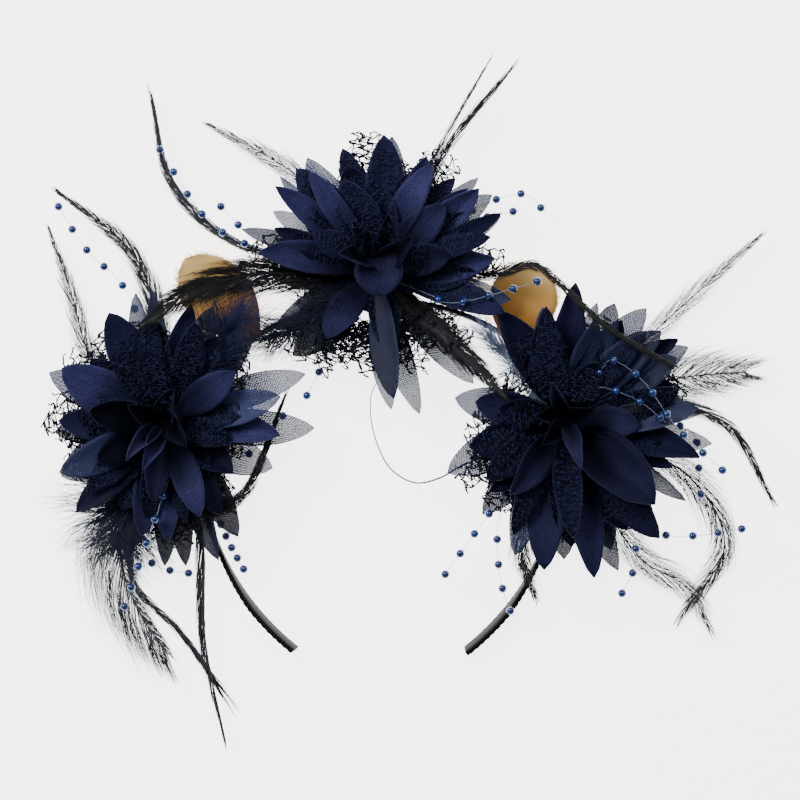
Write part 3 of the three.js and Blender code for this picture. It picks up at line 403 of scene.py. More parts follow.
def organza_material():
    """Organza, a sheer plain weave of fine stiff yarn: a pale grey-blue film whose threads just show."""
    material, shader, node = new_material("grey_navy_organza")
    uv, axes, aside = on_piece(node)
    # Threads of about 0.3 mm pitch are drawn at about 0.8 mm so that they show, on a petal of 45 by 13 mm
    petal = (45, 13, 1)
    pitch_along, pitch_across = 0.8727, 0.7854
    flat = node("Mapping", {0: uv, "Scale": petal})
    turned = node("Mapping", {0: uv, "Scale": petal, "Rotation": (0, 0, 0.5)})
    uneven = {"Distortion": 4.0, "Detail": 2.0, "Detail Scale": 2.0}
    yarn_along = node("TexWave", {"Vector": flat, "Scale": WAVE_LENGTH / pitch_along, **uneven},
                      bands_direction="Y")
    yarn_across = node("TexWave", {"Vector": turned, "Scale": WAVE_LENGTH / pitch_across, **uneven},
                       bands_direction="X")
    weave = node("Math", {0: yarn_along.outputs["Fac"], 1: yarn_across.outputs["Fac"]}, operation="ADD")
    edge = node("MapRange", {0: aside, 1: 0.46, 2: 0.5, 3: 0.0, 4: 0.35})
    root = node("MapRange", {0: axes.outputs["X"], 1: 0.15, 2: 0.8, 3: 0.45, 4: 0.0})
    thread = node("MapRange", {0: weave, 1: 0.3, 2: 1.7, 3: 0.5, 4: 1.02})
    with_edge = node("Math", {0: thread, 1: edge}, operation="ADD")
    tone = node("Attribute", attribute_name="tone").outputs["Fac"]
    cover = node("Math", {0: with_edge, 1: tone, 2: root}, operation="MULTIPLY_ADD", use_clamp=True)
    bump = node("Bump", {"Height": weave, "Strength": 0.3, "Distance": 0.3 * MM})
    doubled = node("MapRange", {0: tone, 1: 1.05, 2: 1.25})
    colour = node("Mix", {0: doubled, 6: linear("#2b355f"), 7: linear("#111631")}, data_type="RGBA")
    wire(shader, {
        "Base Color": colour.outputs[2], "Roughness": 0.55, "Alpha": cover, "Normal": bump,
        "Sheen Weight": 0.2, "Sheen Tint": linear("#8a9ac8"), "Specular IOR Level": 0.25,
    })
    return material


def feather_material(name, dark, pale):
    """Dyed hackle or down: thin keratin barbs, dark with a paler cast where they thin out."""
    material, shader, node = new_material(name)
    tone = node("Attribute", attribute_name="tone").outputs["Fac"]
    spot = node("TexCoord").outputs["Object"]
    patch_size = 6.25
    patch = node("TexNoise", {"Vector": spot, "Scale": scale_of(patch_size), "Detail": 2.0})
    share = node("Math", {0: patch, 1: tone}, operation="MULTIPLY")
    colour = node("Mix", {0: share, 6: linear(dark), 7: linear(pale)}, data_type="RGBA")
    wire(shader, {"Base Color": colour.outputs[2], "Roughness": 0.5, "Specular IOR Level": 0.35})
    return material


def tan_material():
    """Natural body feather: close-lying barbs, cream at the round end and rust brown towards the root."""
    material, shader, node = new_material("tan_feather_vane")
    _, axes, aside = on_piece(node)
    slant = node("Math", {0: aside, 1: -0.55, 2: axes.outputs["X"]}, operation="MULTIPLY_ADD")
    lined = node("CombineXYZ", {0: slant, 1: axes.outputs["Y"]})
    # Barbs lie about 0.6 mm apart on a vane 40 mm long, and the colour changes in patches of 17 mm
    vane_length, barb_pitch, patch_size = 40, 0.6283, 16.7
    barb_scale = WAVE_LENGTH * vane_length / barb_pitch
    barbs = node("TexWave", {"Vector": lined, "Scale": barb_scale, "Distortion": 1.5, "Detail": 2.0},
                 bands_direction="X").outputs["Fac"]
    spot = node("TexCoord").outputs["Object"]
    patch = node("TexNoise", {"Vector": spot, "Scale": scale_of(patch_size), "Detail": 3.0})
    along = node("Math", {0: patch, 1: 0.3, 2: axes.outputs["X"]}, operation="MULTIPLY_ADD")
    ramp = node("ValToRGB", {0: along})
    set_stops(ramp, ((0.2, "#8a5216"), (0.5, "#c08434"), (0.8, "#dca858"), (1.0, "#ecc27a")))
    shade = node("MapRange", {0: barbs, 3: 0.8, 4: 1.08})
    coloured = node("VectorMath", {0: ramp, "Scale": shade}, operation="SCALE")
    bump = node("Bump", {"Height": barbs, "Strength": 0.4, "Distance": 0.3 * MM})
    wire(shader, {"Base Color": coloured, "Roughness": 0.6, "Normal": bump, "Specular IOR Level": 0.3})
    return material


SATIN = satin_material()
ORGANZA = organza_material()
HACKLE = feather_material("black_hackle", "#07080c", "#5b5d68")
BLUE_DOWN = feather_material("blue_black_down", "#0a0a12", "#39467e")
PALE_DOWN = feather_material("pale_blue_down", "#26315f", "#b4c0e2")
DOWN_DYE = {"blue": BLUE_DOWN, "pale": PALE_DOWN}
TAN = tan_material()
# Nylon net, knotted from dyed yarn: matt threads with a little fuzz
MATT_YARN = {"Roughness": 0.75, "Specular IOR Level": 0.25}
FUZZ = (0.5, 0.2)
LACE = mottled("blue_black_net_lace", 1.43, 2.0, ("#04050c", "#11152c"), MATT_YARN, FUZZ)
# On the laid net the paler spots are painted highlights as well as fuzz
NET = mottled("navy_net", 1.43, 2.0, ("#05070f", "#2c335e"), MATT_YARN, FUZZ)
# Glass-like acrylic bead, moulded and lacquered blue: a deep body with small bright highlights
BEAD = mottled("blue_lacquered_bead", 2.5, 1.0, ("#06102f", "#1d4189"),
               {"Roughness": 0.18, "Metallic": 0.25, "Coat Weight": 0.5, "Coat Roughness": 0.05})
# Clear nylon thread, drawn thin: pale and slightly blue
THREAD = mottled("clear_nylon_thread", 3.85, 2.0, ("#5f6f98", "#b4c0d8"), {"Roughness": 0.3, "Alpha": 0.7})
# Polyester satin ribbon, wound in overlapping turns: black with a fine grain and a silky sheen
RIBBON = mottled("black_satin_ribbon", 1.11, 2.0, ("#030405", "#101216"),
                 {"Roughness": 0.5, "Specular IOR Level": 0.08}, (0.3, 0.2))
# Pressed wool felt: a matt navy mat of short fibres
FELT = mottled("navy_felt", 0.833, 4.0, ("#080a16", "#1c2140"), {"Roughness": 0.95, "Sheen Weight": 0.4},
               (0.8, 0.3))


# Mesh helpers

def choose(*pieces):
    """Selects these objects and nothing else, and makes the first of them the active one."""
    bpy.ops.object.select_all(action="DESELECT")
    for piece in pieces:
        piece.select_set(True)
    if pieces:
        bpy.context.view_layer.objects.active = pieces[0]


def pick(piece, wanted):
    """In edit mode, selects the vertices whose place is wanted and nothing else."""
    shell = bmesh.from_edit_mesh(piece.data)
    for vertex in shell.verts:
        vertex.select_set(bool(wanted(vertex.co)))
    shell.select_flush(True)
    bmesh.update_edit_mesh(piece.data)


def join(pieces, name):
    """Joins pieces into one object with that name."""
    choose(*pieces)
    bpy.ops.object.join()
    pieces[0].name = pieces[0].data.name = name
    return pieces[0]


def settle(pieces):
    """Applies the modifiers and the placing of many pieces at once."""
    choose(*pieces)
    bpy.ops.object.convert(target="MESH")
    bpy.ops.object.transform_apply()


def thicken(piece, material, thickness):
    """Gives a flat piece its material and its thickness in millimetres."""
    piece.data.materials.clear()
    piece.data.materials.append(material)
    thick = piece.modifiers.new("thickness", "SOLIDIFY")
    thick.thickness = thickness * MM
    thick.offset = 0
    choose(piece)
    bpy.ops.object.modifier_apply(modifier="thickness")


def as_shape(piece):
    """A modelled pattern as (vertices, faces). The pattern itself is removed."""
    vertices = np.array([v.co for v in piece.data.vertices])
    faces = [list(p.vertices) for p in piece.data.polygons]
    bpy.data.objects.remove(piece)
    return vertices, faces


def set_tone(mesh, tone):
    """Gives a mesh the brightness that its material reads."""
    values = np.full(len(mesh.vertices), tone, dtype=np.float32)
    mesh.attributes.new("tone", "FLOAT", "POINT").data.foreach_set("value", values)


def finish_piece(piece, node=None):
    """Shades a finished piece, and tells the frame what it rides on and replaces."""
    piece.data.shade_smooth()
    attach(piece, ROOT)
    if node:
        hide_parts(node)
    return piece


def mesh_piece(name, shape, material, tone=None):
    """A new object from (vertices in millimetres, faces)."""
    vertices, faces = shape
    mesh = bpy.data.meshes.new(name)
    mesh.from_pydata((vertices * MM).tolist(), [], faces)
    if tone is not None:
        set_tone(mesh, tone)
    mesh.materials.append(material)
    piece = bpy.data.objects.new(name, mesh)
    bpy.context.collection.objects.link(piece)
    return piece


def unit(vectors):
    """Vectors made 1 long, along the last axis."""
    return vectors / (np.linalg.norm(vectors, axis=-1, keepdims=True) + 1e-12)


def fibres(paths, radii, sides=3, pointed=True):
    """Thin tubes along many paths, closed at the root and either drawn to a point or closed at the end.

    paths is (count, stations, 3) and radii is (count, stations)."""
    count = len(paths)
    tangent = unit(np.gradient(paths, axis=1))
    steep = 0.9
    helper = np.where(np.abs(tangent[..., 2:3]) > steep, np.array([1.0, 0, 0]), np.array([0, 0, 1.0]))
    across = unit(np.cross(helper, tangent))
    above = np.cross(tangent, across)
    turns = np.arange(sides) / sides * 2 * np.pi
    ring = across[:, :, None] * np.cos(turns)[:, None] + above[:, :, None] * np.sin(turns)[:, None]
    tubes = paths[:, :, None] + ring * radii[:, :, None, None]
    if pointed:
        tubes = tubes[:, :-1]
    vertices = tubes.reshape(count, -1, 3)
    if pointed:
        vertices = np.concatenate([vertices, paths[:, -1:]], axis=1)
    first = np.arange(count)[:, None] * vertices.shape[1]
    k = np.arange(sides)[None]
    following = (k + 1) % sides
    rings = [first + station * sides for station in range(tubes.shape[1])]
    faces = (first + k[:, ::-1]).tolist()
    for low, high in zip(rings, rings[1:]):
        quads = np.stack([low + k, low + following, high + following, high + k], axis=-1)
        faces += quads.reshape(-1, 4).tolist()
    if pointed:
        end = np.broadcast_to(first + vertices.shape[1] - 1, (count, sides))
        faces += np.stack([rings[-1] + k, rings[-1] + following, end], axis=-1).reshape(-1, 3).tolist()
    else:
        faces += (rings[-1] + k).tolist()
    return vertices.reshape(-1, 3), faces


def stacked(parts):
    """Puts several (vertices, faces) parts together as one."""
    vertices, faces, count = [], [], 0
    for points, polygons in parts:
        vertices.append(points)
        faces += [[index + count for index in polygon] for polygon in polygons]
        count += len(points)
    return np.concatenate(vertices), faces


# Lines that strands follow, found as in the CAD model

LAST_STOP = 0.85  # share of the way to a strand's first place where it may still follow its gap
LINE_STEPS = 160


def bowl_height(layer, radius):
    """Height of a layer's bowl of petals over its hub, at a distance from its axis."""
    out = max(0.0, radius - layer.hub)
    start, end = math.tan(math.radians(layer.root_rise)), math.tan(math.radians(layer.tip_rise))
    return out * start + (end - start) * out * out / (2 * SPREAD_REACH)


def slot_height(root, radius):
    """Height of the gap between two layers, under or over the outer petals."""
    outer = bowl_height(LAYERS["outer"], radius)
    if root == "low":
        return SLOT_HEIGHT["low"] + (bowl_height(LAYERS["lace"], radius) + outer) / 2
    most = 3
    return SLOT_HEIGHT["high"] + outer + min(most, (bowl_height(LAYERS["middle"], radius) - outer) / 2)


def smooth_line(points, count=LINE_STEPS):
    """A centripetal curve through the points, as count + 1 places at even steps along it."""
    p = np.asarray(points, dtype=float)
    p = np.vstack([2 * p[0] - p[1], p, 2 * p[-1] - p[-2]])
    share = np.linspace(0, 1, 24, endpoint=False)[:, None]
    dense = []
    for a, b, c, d in zip(p[:-3], p[1:-2], p[2:-1], p[3:]):
        before, span, after = (max(np.linalg.norm(y - x), 1e-4) ** 0.5 for x, y in ((a, b), (b, c), (c, d)))
        leave = ((b - a) / before - (c - a) / (before + span) + (c - b) / span) * span
        arrive = ((c - b) / span - (d - b) / (span + after) + (d - c) / after) * span
        dense.append(b + leave * share + (3 * (c - b) - 2 * leave - arrive) * share ** 2
                     + (2 * (b - c) + leave + arrive) * share ** 3)
    dense = np.vstack(dense + [p[-2:-1]])
    steps = np.concatenate([[0], np.cumsum(np.linalg.norm(np.diff(dense, axis=0), axis=1))])
    even = np.linspace(0, steps[-1], count + 1)
    return np.stack([np.interp(even, steps, dense[:, i]) for i in range(3)], axis=1)


def strand_line(row, via, tip):
    """The line of a strand from its root. In a gap between layers it keeps to that gap until it is clear."""
    flower = FLOWERS[row.name.split("_")[0]]
    middle = np.array([flower.x, flower.y, 0.0])
    angle, radius = math.radians(row.azimuth), ROOT_RADIUS[row.root]
    height = row.height if row.root == "rim" else flower.pad + slot_height(row.root, radius)
    start = middle + [radius * math.cos(angle), radius * math.sin(angle), PAD_FOOT + height]
    points = [start]
    if row.root != "rim":
        towards = (np.array(via[0]) - start) * [1, 1, 0]
        for stop in SLOT_STOPS:
            share = (stop - radius) / np.linalg.norm(towards)
            if share < LAST_STOP:
                place = start + towards * share
                from_axis = np.linalg.norm((place - middle)[:2])
                place[2] = PAD_FOOT + flower.pad + slot_height(row.root, from_axis)
                points.append(place)
    return smooth_line(points + [np.array(p, dtype=float) for p in via] + [np.array(tip, dtype=float)])


def directions(line):
    """Unit vectors along a line, level across it, and square to both."""
    along = np.gradient(line, axis=0)
    along /= np.linalg.norm(along, axis=1, keepdims=True)
    across = np.stack([-along[:, 1], along[:, 0], np.zeros(len(line))], axis=1)
    across /= np.linalg.norm(across, axis=1, keepdims=True)
    return along, across, np.cross(along, across)


# Petals

LEAF_ROWS, LEAF_COLUMNS = 18, 8
SAME_PLACE = 1e-3  # how close a vertex is to the row or column that it belongs to


def leaf_outline(share, roundness, fullness, root_width):
    """Half-width of a leaf of unit width at a share of its length."""
    narrowest = 0.02
    full = math.sin(math.pi * share ** roundness) ** fullness if 0 < share < 1 else 0.0
    return max(full, root_width * (1 - share), narrowest)


def leaf(name, roundness, fullness, root_width, cup, crease, ribs):
    """One flat petal of unit length and width: a grid with cupped columns and narrowed rows."""
    choose()
    bpy.ops.mesh.primitive_grid_add(x_subdivisions=LEAF_ROWS, y_subdivisions=LEAF_COLUMNS, size=1,
                                    location=(0.5, 0, 0))
    piece = bpy.context.object
    piece.name = name
    bpy.ops.object.transform_apply()
    columns = sorted({round(v.co.y, 4) for v in piece.data.vertices})
    rows = sorted({round(v.co.x, 4) for v in piece.data.vertices})
    bpy.ops.object.mode_set(mode="EDIT")
    for y in columns:
        out = abs(2 * y)
        pick(piece, lambda co: abs(co.y - y) < SAME_PLACE)
        rib = ribs * math.cos(3 * math.pi * out)
        bpy.ops.transform.translate(value=(0, 0, cup * out * out - crease * max(0.0, 1 - 3 * out) + rib))
    for x in rows:
        width = leaf_outline(x, roundness, fullness, root_width)
        pick(piece, lambda co: abs(co.x - x) < SAME_PLACE)
        bpy.ops.transform.resize(value=(1, width, width), center_override=(x, 0, 0))
    bpy.ops.object.mode_set(mode="OBJECT")
    # Stood up along Z with its face to -X, so that it can be bent along its length
    piece.rotation_euler = (0, -math.pi / 2, 0)
    bpy.ops.object.transform_apply()
    return piece


def leaf_order(piece):
    """Vertex numbers of a leaf as rows from root to tip and columns from edge to edge."""
    layer = piece.data.uv_layers[0].data
    place = {}
    for loop in piece.data.loops:
        u, v = layer[loop.index].uv
        place[(round(u, 4), round(v, 4))] = loop.vertex_index
    along = sorted({u for u, _ in place})
    across = sorted({v for _, v in place})
    return np.array([[place[(u, v)] for v in across] for u in along])


crumple = bpy.data.textures.new("cloth_crumple", "CLOUDS")
crumple.noise_scale = 11 * MM
crumple.noise_depth = 1

# Leaves: roundness, fullness, width at the root, cup, crease along the middle and ribs
SATIN_LEAF = leaf("satin_leaf", 1.12, 0.62, 0.40, 0.11, 0.0, 0.006)
FOLDED_LEAF = leaf("folded_leaf", 1.05, 0.68, 0.40, 0.24, 0.04, 0.01)
ORGANZA_LEAF = leaf("organza_leaf", 1.12, 0.66, 0.40, 0.05, 0.02, 0.01)
LACE_LEAF = leaf("lace_leaf", 0.85, 0.45, 0.65, 0.08, 0.0, 0.02)
SLIM_LEAF = leaf("slim_leaf", 0.95, 0.75, 0.40, 0.5, 0.0, 0.0)
TAN_LEAF = leaf("tan_leaf", 1.10, 0.55, 0.22, 0.10, 0.03, 0.0)
LEAVES = (SATIN_LEAF, FOLDED_LEAF, ORGANZA_LEAF, LACE_LEAF, SLIM_LEAF, TAN_LEAF)
LEAF_ORDER = leaf_order(SATIN_LEAF)
HUB_MIDDLE = 0.5  # height of the middle of a hub's cloth above the layer's foot
HUB_TONE = 0.5  # brightness of the hub


def layer_place(side, layer_name):
    """Where a flower's layer stands: its own axis is up, or leans towards +Y in a leaning front."""
    flower = FLOWERS[side]
    front = layer_name in FRONT
    lift = FRONT_LIFT if front and flower.lean else 0
    place = Matrix.Translation(Vector((flower.x, flower.y, PAD_FOOT + flower.pad + lift)) * MM)
    return place @ Matrix.Rotation(-math.radians(flower.lean) if front else 0, 4, "X")


def arc_length(reach, root_rise, tip_rise):
    """Length of a petal whose rise changes evenly from root to tip, from its level reach."""
    rises = np.radians(np.linspace(root_rise, tip_rise, 21))
    return reach / np.cos(rises).mean()


def sized(pattern, name, length, width):
    """A copy of a leaf, as long and wide as that in millimetres."""
    mesh = pattern.data.copy()
    mesh.transform(Matrix.Diagonal((width * MM, width * MM, length * MM, 1)))
    piece = bpy.data.objects.new(name, mesh)
    bpy.context.collection.objects.link(piece)
    return piece


def rotation(degrees, axis):
    """A turn by degrees about an axis."""
    return Matrix.Rotation(math.radians(degrees), 4, axis)


def shaped_petal(pattern, place, row, layer, tip_rise, twist, roll, sway, folds):
    """A copy of a leaf at its size, bent and twisted, with soft folds, standing in its place."""
    length = arc_length(row.reach - layer.start, layer.root_rise, tip_rise)
    petal = sized(pattern, "petal", length, row.width)
    for label, method, axis, angle in (("twist", "TWIST", "Z", twist),
                                       ("bend", "BEND", "Y", layer.root_rise - tip_rise),
                                       ("sway", "BEND", "X", sway)):
        deform = petal.modifiers.new(label, "SIMPLE_DEFORM")
        deform.deform_method = method
        deform.deform_axis = axis
        deform.angle = math.radians(angle)
    folding = petal.modifiers.new("folds", "DISPLACE")
    folding.texture = crumple
    folding.texture_coords = "GLOBAL"
    folding.strength = folds * MM
    folding.mid_level = 0.5
    root = Matrix.Translation(Vector((layer.start, 0, layer.foot + HUB_MIDDLE)) * MM)
    petal.matrix_world = (place @ rotation(row.azimuth, "Z") @ root @ rotation(90 - layer.root_rise, "Y")
                          @ rotation(roll, "Z"))
    return petal


def hub_disc(place, layer):
    """The round middle of a die-cut layer, under the petals' roots."""
    choose()
    bpy.ops.mesh.primitive_circle_add(vertices=24, radius=layer.hub * MM, fill_type="NGON",
                                      location=(0, 0, (layer.foot + HUB_MIDDLE) * MM))
    disc = bpy.context.object
    bpy.ops.object.mode_set(mode="EDIT")
    bpy.ops.mesh.select_all(action="SELECT")
    bpy.ops.mesh.inset(thickness=layer.hub / 2 * MM)
    bpy.ops.mesh.poke()
    bpy.ops.object.mode_set(mode="OBJECT")
    disc.matrix_world = place @ disc.matrix_world
    bpy.ops.object.transform_apply()
    set_tone(disc.data, HUB_TONE)
    return disc


def surface_of(petal):
    """The places of a shaped petal's grid, in millimetres, as rows from root to tip."""
    places = np.empty(len(petal.data.vertices) * 3)
    petal.data.vertices.foreach_get("co", places)
    return places.reshape(-1, 3)[LEAF_ORDER] / MM


def on_surface(grid, u, v):
    """Places on a grid surface at shares u along and v across."""
    rows, columns = grid.shape[0] - 1, grid.shape[1] - 1
    x, y = np.clip(u, 0, 1) * rows, np.clip(v, 0, 1) * columns
    i, j = np.minimum(x.astype(int), rows - 1), np.minimum(y.astype(int), columns - 1)
    a, b = (x - i)[:, None], (y - j)[:, None]
    return (grid[i, j] * (1 - a) * (1 - b) + grid[i + 1, j] * a * (1 - b)
            + grid[i, j + 1] * (1 - a) * b + grid[i + 1, j + 1] * a * b)


# A net: the width of its meshes, the radius of its thread, its height over the cloth, how far it stands out
# at the sides, the share of knots with a loose end, the shares of the petal it starts and ends at, because
# the cloth above hides the rest, the places along one thread, and its crinkle as a share of a mesh
Net = namedtuple("Net", "mesh thread lift loose frizz start end stations crinkle")
OPEN_NET = Net(3.3, 0.29, 0.0, 2.6, 0.35, 0.4, 1.0, 3, 0.35)
CLOSE_NET = Net(2.3, 0.16, 0.4, 0.6, 0.3, 0.4, 0.84, 2, 0.35)
LAID_NET = Net(2.1, 0.14, 0.35, 0.2, 0.12, 0.15, 1.0, 2, 0.16)
# How uneven every net is, as shares of a mesh: knots out of line, knots off the cloth, loose ends and bowed
# threads. Then the raggedness of its end, the share of threads that are missing, the least and most thickness
# of a thread, how far it may pass the petal's edge, and the least half-width that places are measured by
KNOT_SHIFT, KNOT_STRAY, LOOSE_END, THREAD_BOW = 0.2, 0.08, 0.3, 0.16
RAGGED_END, MISSING, THREAD_RANGE = 0.06, 0.04, (0.7, 1.5)
EDGE_SLACK, LEAST_HALF_WIDTH = 1.02, 0.3


def net_threads(inside, knots, rng):
    """The threads of a net from each knot to the two next ones, as pairs of places."""
    threads = []
    for a, b in zip(*np.nonzero(inside[:-1])):
        for c in (b - (a + 1) % 2 + 1, b - (a + 1) % 2):
            if 0 <= c < inside.shape[1] and inside[a + 1, c] and rng.random() > MISSING:
                threads.append((knots[a, b], knots[a + 1, c]))
    return threads


def netting(net, grid, length, width, rng):
    """A crinkled net over a petal's surface: slanting threads between jittered knots."""
    size = net.mesh
    rows, columns = int(length * net.end / (size / 2)), int(width / size) + 2
    i, j = np.meshgrid(np.arange(1, rows + 1), np.arange(-columns // 2, columns // 2 + 1), indexing="ij")
    x = i * size / 2 + rng.normal(0, KNOT_SHIFT * size, i.shape)
    y = (j + 0.5 * (i % 2)) * size + rng.normal(0, KNOT_SHIFT * size, i.shape)
    spread = np.linalg.norm(grid[:, -1] - grid[:, 0], axis=1) / 2
    half = np.interp(x.ravel() / length, np.linspace(0, 1, len(spread)), spread).reshape(x.shape)
    end = length * net.end * (1 + rng.normal(0, RAGGED_END, x.shape))
    inside = (np.abs(y) < half * EDGE_SLACK + net.loose) & (x < end) & (x > length * net.start)
    v = 0.5 + y / (2 * np.maximum(half, LEAST_HALF_WIDTH))
    knots = on_surface(grid, (x / length).ravel(), v.ravel()).reshape(*x.shape, 3)
    # Knots past the petal's edge stand out beside it
    middle = grid[len(grid) // 2]
    past = (np.abs(y) - half).clip(0) * np.sign(y)
    knots += past[..., None] * unit(middle[-1] - middle[0])
    knots += rng.normal(0, KNOT_STRAY * size, knots.shape) + [0, 0, net.lift]
    knots[..., 2] += np.abs(rng.normal(0, net.crinkle * size, x.shape))
    ends = net_threads(inside, knots, rng)
    frizzy = knots[inside]
    frizzy = frizzy[rng.random(len(frizzy)) < net.frizz]
    stray = rng.normal(0, LOOSE_END * size, frizzy.shape) * [1, 1, 0.5]
    ends = np.array(ends + list(zip(frizzy, frizzy + stray)))
    steps = np.linspace(0, 1, net.stations)[None, :, None]
    bow = rng.normal(0, THREAD_BOW * size, (len(ends), 1, 3)) * np.sin(np.pi * steps)
    paths = ends[:, :1] * (1 - steps) + ends[:, 1:] * steps + bow
    return fibres(paths, net.thread * rng.uniform(*THREAD_RANGE, (len(ends), net.stations)), pointed=False)


# How a layer is made: its leaf, the depth of its folds and its thickness in millimetres, material and slot
Cut = namedtuple("Cut", "leaf folds thickness finish slot")
CUTS = {
    "organza": Cut(ORGANZA_LEAF, 1.6, 0.12, ORGANZA, "organza"),
    "lace": Cut(LACE_LEAF, 3.0, 0.0, LACE, "lace"),
    "outer": Cut(SATIN_LEAF, 1.5, 0.3, SATIN, "satin"),
    "middle": Cut(SATIN_LEAF, 1.8, 0.3, SATIN, "satin"),
    "inner": Cut(SLIM_LEAF, 1.2, 0.3, SATIN, "satin"),
}
# Brightness of the satin: the painted light of each flower, the contrast between petals, the painted shade
# under a net that covers more than half of the petal, and how much one petal differs from the next
LIGHT = {"left": 0.84, "top": 1.1, "right": 0.62}
CONTRAST, UNDER_NET, HALF_COVERED, TONE_RANGE = 1.3, 0.6, 0.5, (0.97, 1.03)
# Petals between a layer's own: the widest gap that they fill, their reach as a share of their neighbours',
# their brightness, which is painted shade, and the reach of their net
WIDE_GAP, FILLER_REACH, FILLER_SHADE, FILLER_NET = 46, 0.84, 0.4, 0.95
FOLDED_SHARE = 0.4  # of the satin petals are folded along their middle
# Degrees by which a petal's tip rise, twist, roll and sway differ from its layer's
STRAYING = ((-4, 3), (-16, 16), (-18, 18), (-14, 14))
LONGEST = 1.1  # share of the spread reach past which a petal's tip bends no further


def between(rows):
    """Shorter petals between a layer's own, painted dark for the shade between petals. Wide gaps stay open
    for the feathers and down in them.
    """
    ring = sorted(rows, key=lambda row: row.azimuth % 360)
    extra = []
    for this, following in zip(ring, ring[1:] + ring[:1]):
        gap = (following.azimuth - this.azimuth) % 360
        if gap <= WIDE_GAP:
            extra.append(Petal(this.azimuth + gap / 2, FILLER_REACH * min(this.reach, following.reach),
                               (this.width + following.width) / 2, FILLER_SHADE, FILLER_NET))
    return extra


def tip_rise_of(row, layer, name):
    """The rise of a petal's tip. In the layers that lie on the bowl it follows from the petal's reach."""
    if name in FRONT:
        return layer.tip_rise
    return layer.root_rise + (layer.tip_rise - layer.root_rise) * min(LONGEST, row.reach / SPREAD_REACH)


def layer_petal(side, name, place, row, rng):
    """One petal of a layer, with its length and width."""
    cut = CUTS[name]
    layer = row.stance or LAYERS[name]
    tip_rise = tip_rise_of(row, layer, name)
    pattern = cut.leaf
    if row.stance:
        pattern = SATIN_LEAF
    elif pattern is SATIN_LEAF and rng.random() <= FOLDED_SHARE:
        pattern = FOLDED_LEAF
    tone = row.tone * rng.uniform(*TONE_RANGE)
    # On satin the tone is painted light and shade: each flower's light, and shade under a laid net
    if cut.finish is SATIN:
        tone = LIGHT[side] * tone ** CONTRAST * (UNDER_NET if row.net > HALF_COVERED else 1.0)
    rise, twist, roll, sway = (rng.uniform(*limits) for limits in STRAYING)
    petal = shaped_petal(pattern, place, row, layer, tip_rise + rise, twist, roll, sway, cut.folds)
    set_tone(petal.data, tone)
    return petal, (arc_length(row.reach - layer.start, layer.root_rise, tip_rise), row.width)


def flower_layer(side, name, rng):
    """One layer of a flower, with the net that lies over its petals. The lace frill is net alone."""
    place = layer_place(side, name)
    rows = PETALS[side, name]
    if name == "outer":
        rows = rows + between(rows)
    petals, sizes = zip(*(layer_petal(side, name, place, row, rng) for row in rows))
    settle(petals)
    grids = [surface_of(petal) for petal in petals]
    node = f"{side}_{name}_petals"
    cut = CUTS[name]
    if name == "lace":
        nets = [netting(net, grid, *size, rng) for grid, size in zip(grids, sizes)
                for net in (OPEN_NET, CLOSE_NET)]
        for petal in petals:
            bpy.data.objects.remove(petal)
        finish_piece(mesh_piece(f"{side}_lace_frill", stacked(nets), cut.finish), node)
        return
    laid = [netting(LAID_NET._replace(end=row.net), grid, *size, rng)
            for row, grid, size in zip(rows, grids, sizes) if row.net > LAID_NET.start]
    if laid:
        finish_piece(mesh_piece(f"{side}_{name}_net", stacked(laid), NET))
    cloth = join([*petals, hub_disc(place, LAYERS[name])], f"{side}_{name}_cloth")
    thicken(cloth, cut.finish, cut.thickness)
    finish_piece(cloth, node)


# Feathers, down and beads

LOCK_PITCH = 0.8  # millimetres of the quill that one lock of barbs takes up
HAIRS_PER_LOCK = 5
GATHER = 0.15  # how far the ends of a lock draw together
FLOOR_CLEAR = 0.2
DOWN_HAIR = 0.1  # radius of a hair of down
STRAND_PLACES = 4  # along a barb or a hair
QUILL_STEP = 4  # every how many places of its line a quill has a ring
QUILL_TIP = 0.16  # radius of a feather's quill at its tip
DOWN_QUILL = (0.4, 0.12)  # radius at root and tip


def quill(line, root_radius, tip_radius):
    """A thin round stem that tapers along a line."""
    line = line[::QUILL_STEP]
    return fibres(line[None], np.linspace(root_radius, tip_radius, len(line))[None], sides=5)


def vane_width(share, widths):
    """Width of a vane at shares of its length, from its widths at the root, the fullest place and the tip."""
    root, full, tip = widths
    fullest = 0.45
    rising = root + (full - root) * np.sin(np.clip(share / fullest, 0, 1) * np.pi / 2)
    falling = full + (tip - full) * np.clip((share - fullest) / (1 - fullest), 0, 1)
    return np.where(share < fullest, rising, falling)


def on_line(line, share):
    """Places on a line and the directions there, at shares of its length. Past its end the line runs on."""
    steps = np.linspace(0, 1, len(line))
    length = np.linalg.norm(np.diff(line, axis=0), axis=1).sum()
    found = [np.stack([np.interp(share, steps, column) for column in rows.T], axis=-1)
             for rows in (line, *directions(line))]
    found[0] += found[1] * (np.maximum(share - 1, 0) * length)[..., None]
    return found


def gathered(paths, locks):
    """Draws the free ends of the strands of each lock together, and keeps them off the floor."""
    most = locks.max() + 1
    ends = np.stack([np.bincount(locks, paths[:, -1, i], most) for i in range(3)], axis=1)
    ends /= np.maximum(np.bincount(locks, minlength=most), 1)[:, None]
    t = np.linspace(0, 1, paths.shape[1])[None, :, None]
    paths = paths + (ends[locks] - paths[:, -1])[:, None] * GATHER * t ** 1.5
    paths[..., 2] = np.maximum(paths[..., 2], FLOOR_CLEAR)
    return paths


# Barbs: the share of the quill they start at and cover, the blur between locks, how uneven their lean is,
# how much they lean at the root and lose towards the tip, the least lean, how full the vane is drawn, and how
# far a barb bows and strays out of the vane
FIRST_BARB, BARB_SPAN, LOCK_BLUR, UNEVEN_LEAN = 0.03, 0.96, 0.3, 0.35
ROOT_LEAN, LEAN_LOSS, LEAST_LEAN, VANE_FULLNESS = 1.1, 0.4, 0.1, 0.62
START_BEND, BEND_LOSS, OUT_OF_VANE = 1.4, 0.6, 0.08
